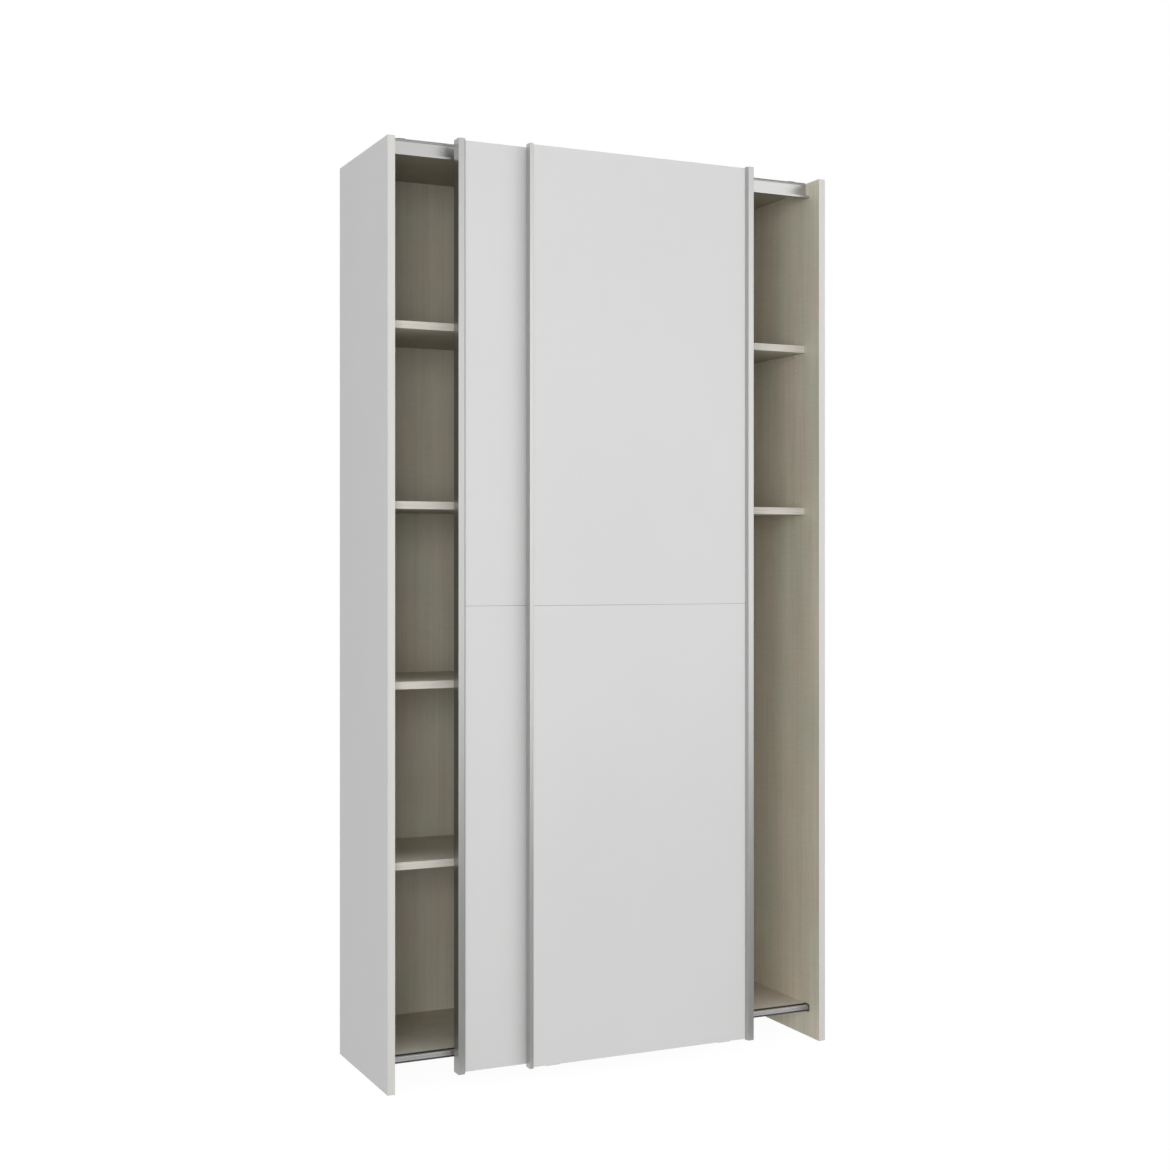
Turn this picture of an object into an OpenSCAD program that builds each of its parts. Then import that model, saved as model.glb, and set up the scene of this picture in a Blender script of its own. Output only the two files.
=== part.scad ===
// Broom cupboard with two sliding doors that hang in front of the carcass.
// Millimetres, +Z up, the front looks towards -Y.
// The origin is on the floor, in the middle of the overall width and depth.

/* [Carcass] */
// Width over both side panels
cab_w = 975; // [860:1:1200]
// Height of the side panels
cab_h = 1850; // [1750:1:2100]
// Depth of the right side panel, which the front door closes against
right_depth = 342; // [300:1:480]
// Thickness of the carcass boards
board_t = 15; // [14.5:0.5:19]
// Thickness of the back sheets
back_t = 3; // [2.5:0.1:5]
// Height of the bottom board's underside above the floor
base_h = 54; // [50:1:90]
// Set-back of the inner boards behind the left panel's front edge
inner_setback = 28; // [28:1:45]
// Set-back of the centre foot behind the inner boards' front edge
foot_setback = 60; // [40:1:120]

/* [Shelves] */
// Clear height under the lowest shelf of the left column
first_clear = 358; // [260:1:370]
// Height from one shelf to the next
shelf_pitch = 352; // [300:1:356]
// Side clearance of a loose shelf
shelf_side_gap = 1; // [0.5:0.1:2]
// Bore of the shelf pin holes
pin_bore = 5; // [4:0.5:6]
// Spacing of the holes in a row
hole_pitch = 32; // [25:1:40]
// Distance of a hole row from the shelf's edge
row_inset = 37; // [30:1:60]

/* [Doors] */
// Thickness of the door boards
door_t = 16; // [15:0.5:19]
// Overlap of the two doors when both are shut
door_overlap = 36; // [24:1:60]
// Gap between a door's back face and the panel edge it shuts on
door_gap = 3; // [3:0.1:5]
// Free gap between the two doors, measured at the grip
pass_gap = 4; // [3.5:0.1:8]
// Height of the door boards' lower edge above the floor
door_foot = 32.5; // [32:0.5:40]
// How far the rear door stands open
rear_open = 135.5; // [0:0.5:440]
// How far the front door stands open
front_open = 192.5; // [0:0.5:440]
// Height of the joint strip between a door's two boards
seam_t = 0.8; // [0.6:0.1:3]

/* [Door profiles] */
// Width of the grip's front face
grip_w = 13; // [10:0.5:20]
// How far the grip stands proud of the door
grip_proud = 8; // [6:0.5:14]
// Slant of the grip's inner flank
grip_flank = 4; // [1:0.5:5]
// Wall of the aluminium profiles
profile_t = 1.5; // [1.2:0.1:2]
// Thickness of the grip's back lip
grip_lip_t = 2.2; // [1.5:0.1:2.4]
// Length of the grip's back lip
grip_lip = 14; // [10:0.5:14.5]
// Length of the slim profile's lips
slim_lip = 7.5; // [5:0.5:12]
// Overhang of the profiles past the boards at top and bottom
profile_over = 2.3; // [1:0.1:3]

/* [Running gear] */
// Height of the top rail's face
rail_h = 33; // [30:1:40]
// Thickness of the top rail's web
rail_web = 3; // [2:0.5:3.5]
// Thickness of the flange that carries the rear door
flange_t = 2; // [1.5:0.1:2.5]
// Reach of that flange in front of the web
flange_reach = 14.5; // [14:0.1:16]
// Thickness of the flange on the top board
top_flange_t = 1.5; // [1.2:0.1:2]
// Width of the running ribs
rib_w = 3; // [2.4:0.1:3.2]
// Rolling radius of the wheels
wheel_r = 7.5; // [7:0.1:8]
// Height of the wheel's flanges over its groove
wheel_rim = 1.5; // [1.3:0.1:1.6]
// Width of the wheels
wheel_w = 5; // [4.6:0.1:5.4]
// Diameter of the wheel axles
axle_d = 5; // [4:0.5:6]
// Thickness of the hanger and guide plates
plate_t = 2; // [1.5:0.1:2.2]
// Width of a hanger plate
hanger_w = 80; // [70:1:90]
// Distance of the hangers' middle from the door's edge
hanger_in = 58; // [58:1:80]
// Width of the hanger's arm
arm_w = 36; // [30:1:50]
// Width of the guide's arm
guide_w = 30; // [20:1:38]
// Depth of the bottom rail in front of the bottom board
guide_rail_d = 16.5; // [16:0.1:18]
// Wall of the bottom rail
guide_wall = 1.2; // [1:0.1:1.4]
// Play of a guide in its groove, on each side
guide_play = 0.5; // [0.3:0.05:0.7]

/* [Fittings] */
// Diameter of the cam housings
cam_d = 15; // [12:0.5:16]
// Distance of a cam from the board's end
cam_in = 34; // [28:1:40]
// Diameter of the wooden dowels
dowel_d = 8; // [6:0.5:8]
// Length of the wooden dowels
dowel_len = 30; // [24:1:36]
// Height of the upright leg of the wall brackets
bracket_h = 20; // [16:1:20]
// Distance between the wall brackets
bracket_span = 600; // [400:1:700]
// Hole in the wall brackets
bracket_hole = 6; // [5:0.5:8]

/* [Hidden] */

$fn = 48;
over = 1;
fit = 0.05;
seat = 0.1;
side_fit = 0.2;

white = [0.93, 0.93, 0.92];
linen = [0.74, 0.72, 0.68];
alu = [0.78, 0.79, 0.80];
steel = [0.62, 0.63, 0.65];
nylon = [0.90, 0.89, 0.85];
black_rubber = [0.12, 0.12, 0.12];
beech = [0.82, 0.66, 0.46];
grey_plastic = [0.30, 0.30, 0.30];

// Planes across the width
half_w = cab_w / 2;
half_in = half_w - board_t;
half_b = board_t / 2;

// Planes across the depth, from the back wall forwards
track_pitch = door_t + grip_proud + pass_gap;
total_depth = right_depth + door_gap + door_t + grip_proud;
y_back = total_depth / 2;
y_sheet = y_back - back_t;
y_right = y_back - right_depth;
y_left = y_right + track_pitch;
y_in = y_left + inner_setback;
fd_back = y_right - door_gap;
rd_back = fd_back + track_pitch;

// Heights
z_floor_top = base_h + board_t;
z_ceiling = cab_h - board_t;
door_mid = (door_foot + cab_h) / 2;
profile_top = cab_h + profile_over;
profile_foot = door_foot - profile_over;

// Shelves
left_tops = [for (i = [0:3]) z_floor_top + first_clear + board_t + i * shelf_pitch];
right_tops = [left_tops[2], left_tops[3]];
pin_len = 10;
pin_hole_len = 12;
partition_pin_len = 5;
partition_hole_len = 6;
pin_out = 8;
pin_collar = 1;
row_y = [y_in + row_inset, y_sheet - row_inset];

// Doors, rear one first
door_w = (cab_w + door_overlap) / 2;
rear_x = -half_w + rear_open;
front_x = half_w - door_w - front_open;

// Top rail
rail_foot = cab_h - rail_h;
y_web = y_in - rail_web;
rear_track_out = 6.5;
rear_track_y = y_web - rear_track_out;
front_track_in = 16.5;
front_track_y = y_in + front_track_in;
rear_rib_top = rail_foot + flange_t + rib_w;
front_rib_h = 2.5;
front_rib_top = cab_h + top_flange_t + front_rib_h;
rear_wheel_z = rear_rib_top + wheel_r;
front_wheel_z = front_rib_top + wheel_r;
roll_gap = 0.1;
flange_lip = 4;
flange_lip_t = 1.5;
top_flange_rest = 15;
top_flange_end = front_track_y + top_flange_rest;
rail_bead = 2.4;
rail_recess = 1.6;
rail_recess_h = 1.3;
rail_len = 2 * half_in;

// Hangers
bend_r = 1;
hanger_h = 58;
hanger_screw_drop = [20, 48];
arm_drop = 12;
rear_arm_z = cab_h - arm_drop;
upright_out = 5;
rear_upright_y = rear_track_y - upright_out;
arm_gap = 0.5;
front_arm_z = profile_top + arm_gap;
front_upright_y = front_track_y - upright_out;
upright_over = 6.5;
collar_d = axle_d + 3;
head_t = 1;
cap_gap = 0.3;

// Bottom rail, with the rear door's groove open at the top and the front door's at the bottom
gr_y = y_in - guide_rail_d;
gr_back_t = 1.5;
gr_front_h = 14;
gr_front_top = base_h + gr_front_h;
gr_front_lift = 5.5;
gr_front_foot = base_h + gr_front_lift;
front_groove_w = 5.6;
front_groove_y = gr_y + guide_wall + front_groove_w / 2;
gr_mid_y = gr_y + guide_wall + front_groove_w;
rear_groove_w = y_in - gr_back_t - gr_mid_y - guide_wall;
rear_groove_y = gr_mid_y + guide_wall + rear_groove_w / 2;
gr_ridge = 0.8;
gr_ridge_h = 1.2;
gr_ridge_step = 2.2;
gr_cap_t = 3;
gr_cap_over = 1;
gr_cap_r = 3;

// Guides
guide_gap = 1.3;
rear_guide_z = z_floor_top + guide_gap;
rear_slider_t = rear_groove_w - 2 * guide_play;
rear_slider_foot = base_h + guide_wall + guide_gap;
front_guide_z = profile_foot - plate_t - 2 * guide_gap;
shoe_wall = 1.5;
shoe_top = gr_front_top - guide_wall - guide_gap;
front_upright_top = shoe_top - shoe_wall;
shoe_t = front_groove_w - 2 * guide_play;
shoe_foot = gr_front_foot + guide_gap;
guide_plate_w = guide_w + 10;
guide_plate_h = 36;

// Screws and other fittings
screw_d = 3.5;
screw_head = 7;
screw_head_h = 1.8;
screw_len = 14;
screw_inset = 10;
pan_head_h = 2.2;
edge_screw_len = 25;
rail_screw_x = [for (i = [-2.5:2.5]) i * rail_len * 0.18];
guide_screw_d = 2.5;
guide_screw_head = 4.4;
guide_screw_head_h = 1.2;
guide_screw_len = 7.5;
strip_flange = 30;
strip_flange_t = 1.5;
strip_recess = 0.3;
nail_d = 1.4;
nail_head = 3.6;
nail_head_t = 0.6;
nail_len = 20;
nail_rows = 7;
nail_inset = 30;
sheet_margin = 2;
rebate = 7;
cam_h = 12.5;
cam_recess = 0.5;
cam_slot = [10, 1.6, 2];
cam_inset = 70;
cam_y = [y_in + cam_inset, y_sheet - cam_inset];
dowel_inset = 30;
dowel_y = [y_in + dowel_inset, y_sheet - dowel_inset];
dowel_in_side = 10;
dowel_in_board = 9;
bolt_d = 6;
bolt_head = 7;
bolt_in_side = 10;
bolt_bore = 8;
bolt_collar = 1.5;
bolt_end = 4;
long_screw_d = 5;
long_screw_head = 9;
long_screw_head_h = 4;
long_screw_len = 50;
foot_screw_len = 80;
foot_sink = 20;
long_screw_inset = 90;
partition_screw_y = [y_in + long_screw_inset, y_sheet - long_screw_inset];
bracket_w = 30;
bracket_foot = 34;
bracket_hole_z = 11;
bracket_x = [-bracket_span / 2, bracket_span / 2];
stop_len = 16;
stop_w = 9;
stop_h = 4.5;
buffer = [10, 10, 24];
buffer_in = board_t + 0.5;
buffer_inset = 150;
buffer_z = [door_foot + buffer_inset, cab_h - buffer_inset];

// Shared shapes

module slab(a, b) {
    translate(a) cube(b - a);
}

// A section drawn in depth and height, run along the width about the middle x
module along_x(x, w) {
    translate([x - w / 2, 0, 0]) rotate([90, 0, 90]) linear_extrude(w) children();
}

module box2(a, b) {
    translate(a) square(b - a);
}

// Quarter ring that joins two flat legs of a bent plate, sx and sy pick the quadrant
module bend2(c, sx, sy) {
    translate(c) mirror([sx < 0 ? 1 : 0, 0]) mirror([0, sy < 0 ? 1 : 0]) difference() {
        intersection() {
            circle(bend_r + plate_t);
            square(bend_r + plate_t);
        }
        circle(bend_r);
    }
}

// Points of an arc, for rounded corners of a section
function arc(c, r, a0, a1, n = 4) =
    [for (i = [0:n]) c + r * [cos(a0 + (a1 - a0) * i / n), sin(a0 + (a1 - a0) * i / n)]];

// Countersunk screw along -Z with its head flush at z = 0, grow widens it into its hole
module csk(d, head, head_h, len, grow = 0) {
    translate([0, 0, -len - grow]) cylinder(h = len + grow, d = d + 2 * grow);
    translate([0, 0, -head_h]) cylinder(h = head_h, d1 = d + 2 * grow, d2 = head + 2 * grow);
    if (grow > 0) cylinder(h = over, d = head + 2 * grow);
}

// Pan head screw along -Z, the head stands on z = 0
module pan(d, head, head_h, len) {
    translate([0, 0, -len]) cylinder(h = len, d = d);
    cylinder(h = head_h * 0.5, d = head);
    translate([0, 0, head_h * 0.5]) cylinder(h = head_h * 0.5, d1 = head, d2 = head * 0.6);
}

module bore(d, len) {
    translate([0, 0, -len - fit]) cylinder(h = len + fit + over, d = d + 2 * fit);
}

module to_back(p) { translate(p) rotate([90, 0, 0]) children(); }
module to_front(p) { translate(p) rotate([-90, 0, 0]) children(); }
module to_left(p) { translate(p) rotate([0, 90, 0]) children(); }
module to_top(p) { translate(p) rotate([180, 0, 0]) children(); }

// Carcass boards

// Heights of the shelf pins under shelves whose top faces are given
function pin_z(tops) = [for (t = tops) t - board_t - seat - pin_bore / 2];

module pin_holes(x, tops) {
    for (z = pin_z(tops), k = [-1:1], y = row_y)
        translate([x, y, z + k * hole_pitch]) rotate([0, 90, 0])
            cylinder(h = 2 * pin_hole_len, d = pin_bore, center = true);
}

// Hole of a nail with the seat of its head, p is the middle of the head
module nail_hole(p) {
    to_front(p) {
        bore(nail_d, nail_len);
        bore(nail_head, nail_head_t);
    }
}

module nail_holes(x) {
    for (z = nail_z()) nail_hole([x, y_back, z]);
}

function nail_z() = [for (i = [0:nail_rows - 1])
    z_floor_top + nail_inset + i * (z_ceiling - z_floor_top - 2 * nail_inset) / (nail_rows - 1)];

// Side panel on the left, its front edge at y_front, drilled for shelves at tops
module side_panel(y_front, tops) {
    difference() {
        slab([-half_w, y_front, 0], [-half_in, y_back, cab_h]);
        slab([-half_in - rebate, y_sheet, -over], [-half_in + over, y_back + over, cab_h + over]);
        pin_holes(-half_in, tops);
        nail_holes(-half_in - rebate / 2);
        for (z = [base_h + half_b, cab_h - half_b]) {
            for (y = dowel_y) to_left([-half_in, y, z]) bore(dowel_d, dowel_in_side);
            for (y = cam_y) to_left([-half_in, y, z]) bore(bolt_d, bolt_in_side);
        }
    }
}

module left_side_panel() {
    color(white) side_panel(y_left, left_tops);
}

module right_side_panel() {
    color(white) mirror([1, 0, 0]) side_panel(y_right, right_tops);
}

// Top and bottom boards are alike: z0 is the underside, up is true if the cams show on the top
module cross_board(z0, up) {
    difference() {
        slab([-half_in, y_in, z0], [half_in, y_sheet, z0 + board_t]);
        for (side = [0, 1]) mirror([side, 0, 0]) {
            for (y = dowel_y) translate([-half_in, y, z0 + half_b]) rotate([0, 90, 0])
                translate([0, 0, -over])
                    cylinder(h = dowel_len - dowel_in_side + over + fit, d = dowel_d + 2 * fit);
            for (y = cam_y) {
                translate([-half_in - over, y, z0 + half_b]) rotate([0, 90, 0])
                    cylinder(h = cam_in + over, d = bolt_bore);
                translate([-half_in + cam_in, y, up ? z0 + board_t - cam_h : z0 - over])
                    cylinder(h = cam_h + over, d = cam_d + 2 * fit);
            }
        }
    }
}

module top_panel() {
    color(linen) difference() {
        cross_board(z_ceiling, true);
        for (x = rail_screw_x) translate([x, top_screw_y(), cab_h]) bore(screw_d, screw_len - top_flange_t);
        for (y = dowel_y) to_top([0, y, z_ceiling]) bore(dowel_d, dowel_in_board);
        for (y = partition_screw_y)
            translate([0, y, cab_h])
                csk(long_screw_d, long_screw_head, long_screw_head_h, board_t + over, fit);
        for (x = bracket_x) translate([x, bracket_screw_y(), cab_h]) bore(screw_d, screw_len - plate_t);
        for (x = top_nail_x(), s = [-1, 1])
            nail_hole([s * x, y_back, z_ceiling + half_b]);
    }
}

function top_screw_y() = top_flange_end - screw_head + 1;
function bracket_screw_y() = y_back - bracket_foot + screw_head + 2;
function top_nail_x() = [half_in * 0.35, half_in * 0.7];

module bottom_panel() {
    color(linen) difference() {
        cross_board(base_h, false);
        for (x = rail_screw_x) to_back([x, y_in - gr_back_t, base_h + half_b])
            csk(screw_d, screw_head, screw_head_h, edge_screw_len, fit);
        for (y = dowel_y) translate([0, y, z_floor_top]) bore(dowel_d, dowel_in_board);
        for (y = partition_screw_y)
            translate([0, y, base_h - over]) cylinder(h = board_t + 2 * over, d = long_screw_d + 2 * fit);
        for (x = top_nail_x(), s = [-1, 1])
            nail_hole([s * x, y_back, base_h + half_b]);
    }
}

module partition_panel() {
    color(linen) difference() {
        slab([-half_b, y_in, z_floor_top], [half_b, y_sheet, z_ceiling]);
        intersection() {
            pin_holes(-half_b, left_tops);
            slab([-half_b - over, y_in, 0], [-half_b + partition_hole_len, y_sheet, cab_h]);
        }
        intersection() {
            pin_holes(half_b, right_tops);
            slab([half_b - partition_hole_len, y_in, 0], [half_b + over, y_sheet, cab_h]);
        }
        for (y = dowel_y) {
            translate([0, y, z_ceiling]) bore(dowel_d, dowel_len - dowel_in_board);
            to_top([0, y, z_floor_top]) bore(dowel_d, dowel_len - dowel_in_board);
        }
        for (y = partition_screw_y) {
            translate([0, y, z_ceiling]) bore(long_screw_d, long_screw_len - board_t);
            to_top([0, y, z_floor_top]) bore(long_screw_d, foot_sink + foot_screw_len - z_floor_top);
        }
        for (s = [-1, 1]) nail_holes(s * board_t / 4);
    }
}

module centre_foot() {
    color(linen) difference() {
        slab([-half_b, y_in + foot_setback, 0], [half_b, y_sheet, base_h]);
        for (y = partition_screw_y) {
            translate([0, y, -over]) cylinder(h = foot_sink + over, d = long_screw_head + 2 * fit);
            to_top([0, y, foot_sink])
                csk(long_screw_d, long_screw_head, long_screw_head_h, foot_screw_len, fit);
        }
    }
}

// Thin sheet let into the side panel's rebate, nailed to every board behind it
module back_sheet() {
    difference() {
        slab([-half_in - rebate + side_fit, y_sheet, base_h + sheet_margin],
            [-side_fit, y_back, cab_h - sheet_margin]);
        for (x = [-half_in - rebate / 2, -board_t / 4]) nail_holes(x);
        for (x = top_nail_x(), z = [base_h + half_b, z_ceiling + half_b]) nail_hole([-x, y_back, z]);
    }
}

module back_panel_left() {
    color(linen) back_sheet();
}

module back_panel_right() {
    color(linen) mirror([1, 0, 0]) back_sheet();
}

module nails_half() {
    for (x = [-half_in - rebate / 2, -board_t / 4], z = nail_z()) nail([x, y_back, z]);
    for (x = top_nail_x(), z = [base_h + half_b, z_ceiling + half_b]) nail([-x, y_back, z]);
}

module nail(p) {
    to_front(p) {
        translate([0, 0, -nail_len]) cylinder(h = nail_len, d = nail_d);
        translate([0, 0, -nail_head_t]) cylinder(h = nail_head_t, d = nail_head);
    }
}

// Shelves

module shelf(top, side) {
    mirror([side, 0, 0]) slab([-half_in + shelf_side_gap, y_in, top - board_t],
        [-half_b - shelf_side_gap, y_sheet - shelf_side_gap, top]);
}

module left_shelf_1() { color(linen) shelf(left_tops[0], 0); }
module left_shelf_2() { color(linen) shelf(left_tops[1], 0); }
module left_shelf_3() { color(linen) shelf(left_tops[2], 0); }
module left_shelf_4() { color(linen) shelf(left_tops[3], 0); }
module right_shelf_1() { color(linen) shelf(right_tops[0], 1); }
module right_shelf_2() { color(linen) shelf(right_tops[1], 1); }

// Pin with a shank in the panel, a collar on its face and a peg under the shelf, along +X
module shelf_pin(len) {
    rotate([0, 90, 0]) {
        translate([0, 0, -len]) cylinder(h = len, d = pin_bore - 2 * fit);
        cylinder(h = pin_collar, d = pin_bore + 0.1);
        cylinder(h = pin_out, d = pin_bore);
    }
}

module column_pins(tops) {
    for (z = pin_z(tops), y = row_y) {
        translate([-half_in, y, z]) shelf_pin(pin_len);
        translate([-half_b, y, z]) mirror([1, 0, 0]) shelf_pin(partition_pin_len);
    }
}

module shelf_pins_left() {
    color(steel) column_pins(left_tops);
}

module shelf_pins_right() {
    color(steel) mirror([1, 0, 0]) column_pins(right_tops);
}

// Rails

// Track with a rounded running rib, in section
module rib2(y, z0, top) {
    box2([y - rib_w / 2, z0], [y + rib_w / 2, top - rib_w / 2]);
    translate([y, top - rib_w / 2]) circle(d = rib_w);
}

module top_rail() {
    color(alu) difference() {
        along_x(0, rail_len - 2 * side_fit) {
            box2([y_web, rail_foot], [y_in, cab_h - rail_recess_h]);
            box2([y_web + rail_recess, rail_foot], [y_in, cab_h + top_flange_t]);
            translate([y_web, cab_h - rail_recess_h - rail_bead / 2]) circle(d = rail_bead);
            box2([y_web + rail_recess, cab_h], [top_flange_end, cab_h + top_flange_t]);
            rib2(front_track_y, cab_h + top_flange_t / 2, front_rib_top);
            box2([y_web - flange_reach, rail_foot], [y_in, rail_foot + flange_t]);
            box2([y_web - flange_reach, rail_foot],
                [y_web - flange_reach + flange_lip_t, rail_foot + flange_lip]);
            rib2(rear_track_y, rail_foot + flange_t / 2, rear_rib_top);
        }
        for (x = rail_screw_x) translate([x, top_screw_y(), cab_h + top_flange_t])
            bore(screw_d, screw_len);
    }
}

module top_rail_screws() {
    color(steel) for (x = rail_screw_x) translate([x, top_screw_y(), cab_h + top_flange_t])
        pan(screw_d, screw_head, pan_head_h, screw_len);
}

// Strip of pile in the recess along the rail's top edge
module rail_dust_seal() {
    color(grey_plastic) along_x(0, rail_len - 2 * side_fit)
        box2([y_web, cab_h - rail_recess_h], [y_web + rail_recess, cab_h + top_flange_t]);
}

module bottom_rail() {
    mid_ridge = (gr_front_foot + gr_front_top - gr_ridge_h) / 2;
    color(alu) difference() {
        along_x(0, rail_len - 2 * side_fit - 2 * gr_cap_t) {
            box2([y_in - gr_back_t, base_h], [y_in, z_floor_top]);
            box2([gr_mid_y, base_h], [y_in, base_h + guide_wall]);
            box2([gr_mid_y, base_h], [gr_mid_y + guide_wall, gr_front_top]);
            box2([gr_y, gr_front_top - guide_wall], [gr_mid_y + guide_wall, gr_front_top]);
            box2([gr_y, gr_front_foot], [gr_y + guide_wall, gr_front_top]);
            for (k = [-1, 0, 1])
                box2([gr_y - gr_ridge, mid_ridge + k * gr_ridge_step],
                    [gr_y + over, mid_ridge + k * gr_ridge_step + gr_ridge_h]);
        }
        for (x = rail_screw_x) to_back([x, y_in - gr_back_t, base_h + half_b])
            csk(screw_d, screw_head, screw_head_h, edge_screw_len, fit);
    }
}

module bottom_rail_screws() {
    color(steel) for (x = rail_screw_x) to_back([x, y_in - gr_back_t, base_h + half_b])
        csk(screw_d, screw_head, screw_head_h, edge_screw_len);
}

// Caps with rounded front corners that close the ends of the bottom rail
module bottom_rail_caps() {
    y0 = gr_y - gr_ridge - gr_cap_over;
    z1 = z_floor_top + gr_cap_over;
    color(grey_plastic) for (s = [-1, 1])
        along_x(s * (half_in - side_fit - gr_cap_t / 2), gr_cap_t) hull() {
            translate([y0 + gr_cap_r, base_h + gr_cap_r]) circle(gr_cap_r);
            translate([y0 + gr_cap_r, z1 - gr_cap_r]) circle(gr_cap_r);
            box2([y_in - over, base_h], [y_in, z1]);
        }
}

// Low rubber blocks over the upper rib, the rims of the front door's wheels run against them
module rail_stops() {
    drop = front_wheel_z - cab_h - top_flange_t - stop_h;
    reach = half_w - hanger_in + sqrt(pow(wheel_r + wheel_rim, 2) - pow(drop, 2)) + 1;
    color(black_rubber) for (side = [0, 1]) mirror([side, 0, 0]) difference() {
        slab([reach, front_track_y - stop_w / 2, cab_h + top_flange_t],
            [reach + stop_len, front_track_y + stop_w / 2, cab_h + top_flange_t + stop_h]);
        slab([reach - over, front_track_y - rib_w / 2 - fit, cab_h],
            [reach + stop_len + over, front_track_y + rib_w / 2 + fit, front_rib_top + fit]);
    }
}

// Knock-down fittings

module cam(p) {
    top = cam_h - cam_recess;
    translate(p) difference() {
        cylinder(h = top, d = cam_d);
        for (turn = [0, 90]) rotate([0, 0, turn])
            translate([-cam_slot[0] / 2, -cam_slot[1] / 2, top - cam_slot[2]])
                cube(cam_slot + [0, 0, over]);
    }
}

// Cams in both cross boards, each with the bore that takes the head of its bolt
module cam_housings() {
    color(steel) for (side = [0, 1]) mirror([side, 0, 0]) difference() {
        for (y = cam_y) {
            cam([-half_in + cam_in, y, cab_h - cam_h]);
            translate([-half_in + cam_in, y, base_h + cam_h]) rotate([180, 0, 0]) cam([0, 0, 0]);
        }
        for (y = cam_y, z = [base_h + half_b, cab_h - half_b])
            translate([-half_in + cam_in - cam_d, y, z]) rotate([0, 90, 0])
                cylinder(h = 2 * cam_d, d = bolt_bore - 2 * fit);
    }
}

module cam_bolts() {
    color(steel) for (side = [0, 1]) mirror([side, 0, 0])
        for (y = cam_y, z = [base_h + half_b, cab_h - half_b])
            translate([-half_in, y, z]) rotate([0, 90, 0]) {
                translate([0, 0, -bolt_in_side]) cylinder(h = bolt_in_side + bolt_collar, d = bolt_d);
                cylinder(h = cam_in, d = bolt_d - 1);
                translate([0, 0, cam_in - bolt_end / 2]) cylinder(h = bolt_end, d = bolt_head);
                cylinder(h = bolt_collar, d = bolt_head);
            }
}

module wood_dowels() {
    color(beech) {
        for (side = [0, 1]) mirror([side, 0, 0])
            for (y = dowel_y, z = [base_h + half_b, cab_h - half_b])
                translate([-half_in - dowel_in_side, y, z]) rotate([0, 90, 0])
                    cylinder(h = dowel_len, d = dowel_d);
        for (y = dowel_y) {
            translate([0, y, z_ceiling + dowel_in_board - dowel_len])
                cylinder(h = dowel_len, d = dowel_d);
            translate([0, y, z_floor_top - dowel_in_board]) cylinder(h = dowel_len, d = dowel_d);
        }
    }
}

module partition_screws() {
    color(steel) for (y = partition_screw_y) {
        translate([0, y, cab_h])
            csk(long_screw_d, long_screw_head, long_screw_head_h, long_screw_len);
        to_top([0, y, foot_sink])
            csk(long_screw_d, long_screw_head, long_screw_head_h, foot_screw_len);
    }
}

module back_panel_nails() {
    color(steel) for (side = [0, 1]) mirror([side, 0, 0]) nails_half();
}

// Wall brackets on the top board's rear edge

module wall_brackets() {
    color(steel) for (x = bracket_x) difference() {
        union() {
            slab([x - bracket_w / 2, y_back - bracket_foot, cab_h],
                [x + bracket_w / 2, y_back, cab_h + plate_t]);
            slab([x - bracket_w / 2, y_back - plate_t, cab_h],
                [x + bracket_w / 2, y_back, cab_h + bracket_h]);
        }
        translate([x, bracket_screw_y(), cab_h + plate_t]) bore(screw_d, screw_len);
        translate([x, y_back + over, cab_h + bracket_hole_z]) rotate([90, 0, 0])
            cylinder(h = plate_t + 2 * over, d = bracket_hole);
    }
}

module wall_bracket_screws() {
    color(steel) for (x = bracket_x) translate([x, bracket_screw_y(), cab_h + plate_t])
        pan(screw_d, screw_head, pan_head_h, screw_len);
}

// Doors. Each takes the x of its left edge and the y of its boards' back face

// Places of the countersunk screws in a door's back: [x, z, thickness of the plate under the head]
function hanger_screws(x, arm_z) = [for (xc = hanger_x(x), s = [-1, 1], drop = hanger_screw_drop)
    [xc + s * (hanger_w / 2 - screw_inset), arm_z - drop, plate_t]];
function strip_screws(x) = [for (i = [-2:2], s = [-1, 1])
    [x + door_w * (0.5 + i * 0.19), door_mid + s * strip_flange * 0.3, strip_flange_t]];
function guide_screws(x, z) = [for (xc = hanger_x(x), s = [-1, 1])
    [xc + s * (guide_plate_w / 2 - screw_inset), z, plate_t]];
function hanger_x(x) = [x + hanger_in, x + door_w - hanger_in];

function rear_screws() = concat(hanger_screws(rear_x, rear_arm_z), strip_screws(rear_x),
    guide_screws(rear_x, rear_guide_z + guide_plate_h - screw_inset));
function front_screws() = concat(hanger_screws(front_x, front_arm_z), strip_screws(front_x),
    guide_screws(front_x, front_guide_z + guide_plate_h));

module door_screw_set(list, back, grow = 0) {
    for (s = list) to_front([s[0], back + s[2], s[1]])
        csk(screw_d, screw_head, screw_head_h, screw_len, grow);
}

// Board between its two profiles
module door_board(x, back, z0, z1, list) {
    difference() {
        slab([x + profile_t + side_fit, back - door_t, z0],
            [x + door_w - profile_t - side_fit, back, z1]);
        door_screw_set(list, back, fit);
    }
}

// Strip between the upper and the lower board, with a flange that is screwed to both
module joint_strip(x, back, lip_left, lip_right, list) {
    x0 = x + lip_left + 1;
    x1 = x + door_w - lip_right - 1;
    difference() {
        union() {
            slab([x0, back - door_t + strip_recess, door_mid - seam_t / 2],
                [x1, back + strip_flange_t, door_mid + seam_t / 2]);
            slab([x0, back, door_mid - strip_flange / 2],
                [x1, back + strip_flange_t, door_mid + strip_flange / 2]);
        }
        door_screw_set(list, back, fit);
    }
}

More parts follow.
